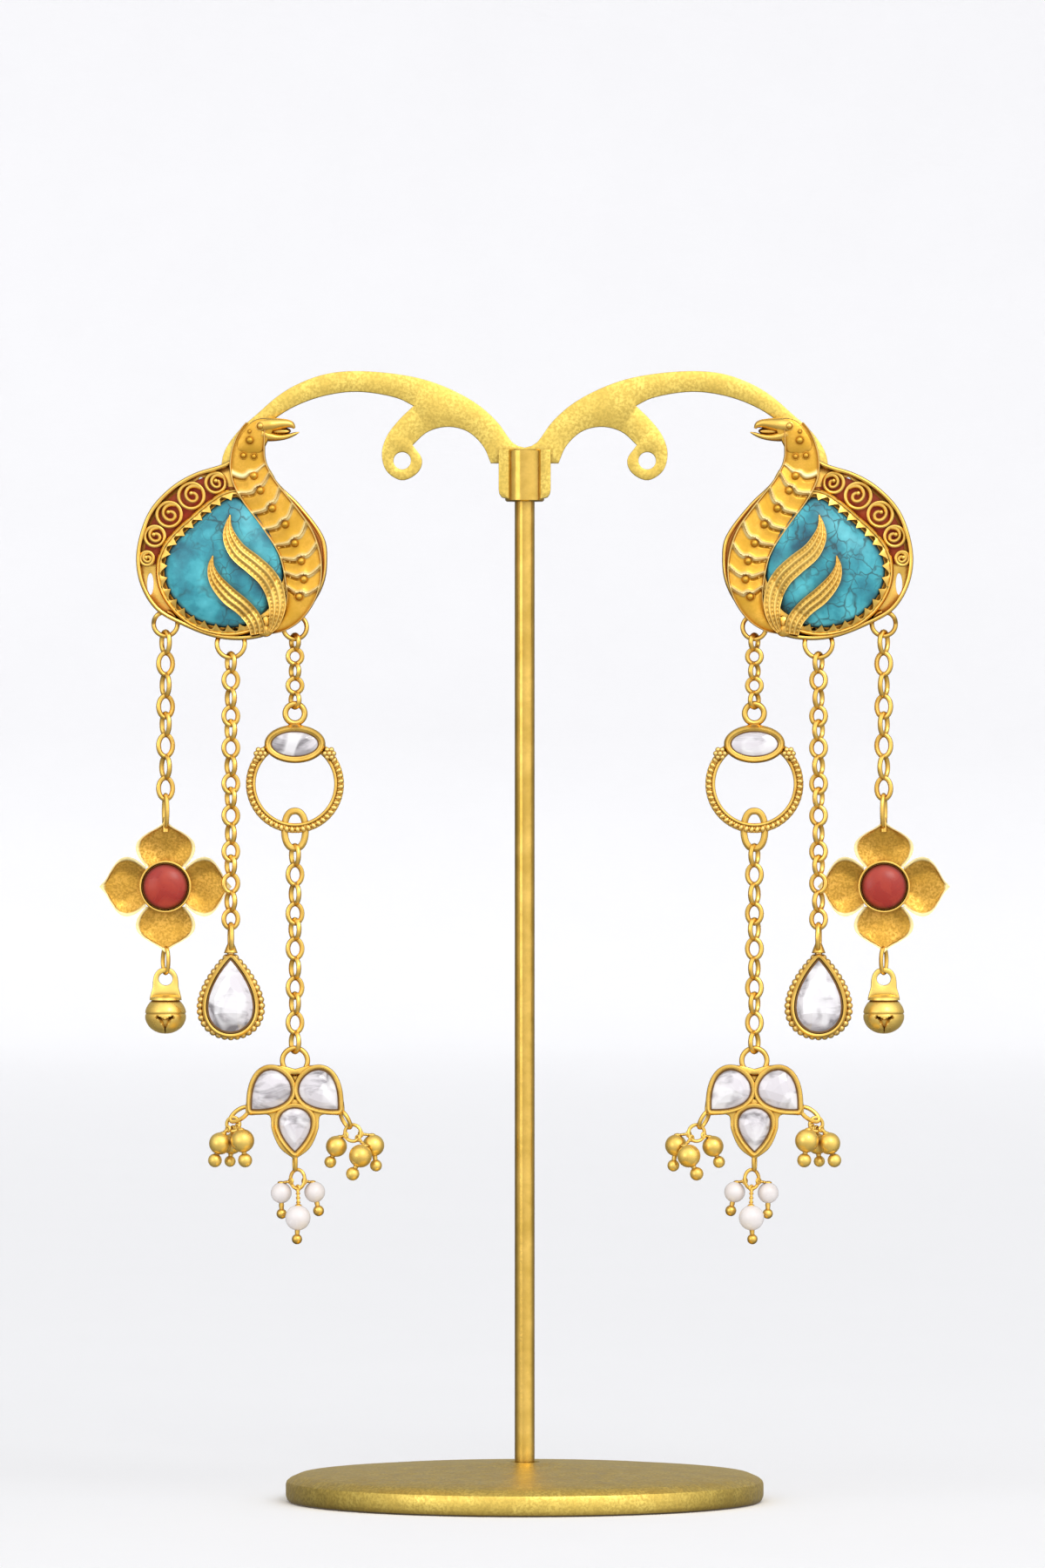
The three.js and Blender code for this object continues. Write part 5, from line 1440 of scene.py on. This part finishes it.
# ---- stage -----------------------------------------------------------------
def make_stage():
    """Floor, sky, lamps and camera. The round sweep of the floor ends beyond the camera, so that the
    object stands free in every view.
    """
    scene = bpy.context.scene
    bm = bmesh.new()
    line = [(0.0, 0.0), (0.4, 0.0), (FLOOR_RADIUS, 0.0)]
    for t in (math.pi / 2 * k / 16 for k in range(1, 17)):
        line.append((FLOOR_RADIUS + SWEEP * math.sin(t), SWEEP - SWEEP * math.cos(t)))
    line.append((FLOOR_RADIUS + SWEEP, WALL_HEIGHT))
    turned(bm, line, (0, 0, 0), steps=96)
    bmesh.ops.recalc_face_normals(bm, faces=bm.faces)
    if min(bm.faces, key=lambda f: f.calc_center_median().z).normal.z < 0:
        bmesh.ops.reverse_faces(bm, faces=bm.faces)
    mesh = bpy.data.meshes.new("backdrop")
    bm.to_mesh(mesh)
    bm.free()
    mesh.materials.append(finish_of("ground"))
    mesh.shade_smooth()
    backdrop = bpy.data.objects.new("backdrop", mesh)
    scene.collection.objects.link(backdrop)
    backdrop.visible_glossy = False

    # an even sky that fades towards the floor, behind the object and a little to the left
    scene.world = bpy.data.worlds.new("studio")
    sky, strength = NodeTree(scene.world), SKY_STRENGTH
    direction = sky.add("TexCoord").outputs["Generated"]
    for axis, low, high, least in SKY_FADES:
        share = sky.ramp(sky.axis(direction, axis), low, high, least, 1.0, interpolation_type="SMOOTHSTEP")
        strength = sky.combine("MULTIPLY", share, strength)
    sky.feed_all(sky.nodes["Background"], Color=SKY_COLOUR, Strength=strength)

    for name, place, aim, size, power, tint in LAMPS:
        lamp = bpy.data.lights.new(name, "AREA")
        lamp.size, lamp.energy, lamp.color = size, power, tint
        holder = bpy.data.objects.new(name, lamp)
        holder.location = place
        holder.rotation_euler = (Vector(aim) - Vector(place)).to_track_quat("-Z", "Y").to_euler()
        scene.collection.objects.link(holder)

    camera = bpy.data.cameras.new("front_camera")
    camera.sensor_fit, camera.sensor_height, camera.lens = "VERTICAL", CAMERA_HEIGHT, CAMERA_LENS
    camera.clip_start, camera.clip_end = 0.05, 10.0
    holder = bpy.data.objects.new("front_camera", camera)
    holder.location = CAMERA_PLACE
    holder.rotation_euler = (math.pi / 2, 0, 0)
    scene.collection.objects.link(holder)
    scene.camera = holder
    scene.view_settings.view_transform = "Standard"


# ---- operators -------------------------------------------------------------
class EARRINGS_OT_stage(bpy.types.Operator):
    """Adds the pale floor, the backdrop, the lights and the camera"""

    bl_idname = "earrings.stage"
    bl_label = "Stage"

    def execute(self, context):
        make_stage()
        return {"FINISHED"}


class EARRINGS_OT_stand(bpy.types.Operator):
    """Adds the foot, rod, sleeve and arm plate"""

    bl_idname = "earrings.stand"
    bl_label = "Display stand"

    def execute(self, context):
        make_base()
        make_post()
        make_collar()
        make_arms()
        return {"FINISHED"}


class EARRINGS_OT_peacocks(bpy.types.Operator):
    """Adds the gold peacocks and their ear posts"""

    bl_idname = "earrings.peacocks"
    bl_label = "Peacocks"

    def execute(self, context):
        make_peacock()
        return {"FINISHED"}


class EARRINGS_OT_turquoises(bpy.types.Operator):
    """Adds the turquoise cabochons"""

    bl_idname = "earrings.turquoises"
    bl_label = "Turquoises"

    def execute(self, context):
        make_turquoise()
        return {"FINISHED"}


class EARRINGS_OT_enamels(bpy.types.Operator):
    """Adds the red ground between the scrolls"""

    bl_idname = "earrings.enamels"
    bl_label = "Enamel grounds"

    def execute(self, context):
        make_enamel()
        return {"FINISHED"}


class EARRINGS_OT_nuts(bpy.types.Operator):
    """Adds the nuts behind the stand's pads"""

    bl_idname = "earrings.nuts"
    bl_label = "Ear nuts"

    def execute(self, context):
        make_nut()
        return {"FINISHED"}


class EARRINGS_OT_chains(bpy.types.Operator):
    """Adds all links of the four chain lines"""

    bl_idname = "earrings.chains"
    bl_label = "Chains"

    def execute(self, context):
        make_chains()
        return {"FINISHED"}


class EARRINGS_OT_hoops(bpy.types.Operator):
    """Adds the grained hoops with their oval stones"""

    bl_idname = "earrings.hoops"
    bl_label = "Hoops"

    def execute(self, context):
        make_hoop()
        return {"FINISHED"}


class EARRINGS_OT_pears(bpy.types.Operator):
    """Adds the grained pear settings and their stones"""

    bl_idname = "earrings.pears"
    bl_label = "Pear drops"

    def execute(self, context):
        make_pear()
        return {"FINISHED"}


class EARRINGS_OT_flowers(bpy.types.Operator):
    """Adds the four-petalled flowers with coral"""

    bl_idname = "earrings.flowers"
    bl_label = "Flowers"

    def execute(self, context):
        make_flower()
        return {"FINISHED"}


class EARRINGS_OT_bells(bpy.types.Operator):
    """Adds the small round bells"""

    bl_idname = "earrings.bells"
    bl_label = "Bells"

    def execute(self, context):
        make_bell()
        return {"FINISHED"}


class EARRINGS_OT_trefoils(bpy.types.Operator):
    """Adds the three-stone settings"""

    bl_idname = "earrings.trefoils"
    bl_label = "Trefoils"

    def execute(self, context):
        make_trefoil()
        return {"FINISHED"}


class EARRINGS_OT_clusters(bpy.types.Operator):
    """Adds the gold beads and the pearls"""

    bl_idname = "earrings.clusters"
    bl_label = "Bead clusters"

    def execute(self, context):
        make_clusters()
        return {"FINISHED"}


OPERATORS = [
    EARRINGS_OT_stage, EARRINGS_OT_stand, EARRINGS_OT_peacocks, EARRINGS_OT_turquoises,
    EARRINGS_OT_enamels, EARRINGS_OT_nuts, EARRINGS_OT_chains, EARRINGS_OT_hoops, EARRINGS_OT_pears,
    EARRINGS_OT_flowers, EARRINGS_OT_bells, EARRINGS_OT_trefoils, EARRINGS_OT_clusters,
]


class EARRINGS_PT_pieces(bpy.types.Panel):
    """Lists the sizes, the colours and the pieces"""

    bl_label = "Earrings"
    bl_space_type = "VIEW_3D"
    bl_region_type = "UI"
    bl_category = "Earrings"

    def draw(self, context):
        for group in (context.scene.earring_sizes, context.scene.earring_colours):
            box = self.layout.box()
            for name in group.__annotations__:
                box.prop(group, name)
        for kind in OPERATORS:
            self.layout.operator(kind.bl_idname)


CLASSES = [EarringSizes, EarringColours, *OPERATORS, EARRINGS_PT_pieces]


def register():
    for kind in CLASSES:
        bpy.utils.register_class(kind)
    bpy.types.Scene.earring_sizes = PointerProperty(type=EarringSizes)
    bpy.types.Scene.earring_colours = PointerProperty(type=EarringColours)


def unregister():
    del bpy.types.Scene.earring_colours
    del bpy.types.Scene.earring_sizes
    for kind in reversed(CLASSES):
        bpy.utils.unregister_class(kind)


def main():
    register()
    for kind in OPERATORS:
        group, name = kind.bl_idname.split(".")
        getattr(getattr(bpy.ops, group), name)()


if __name__ == "__main__":
    main()
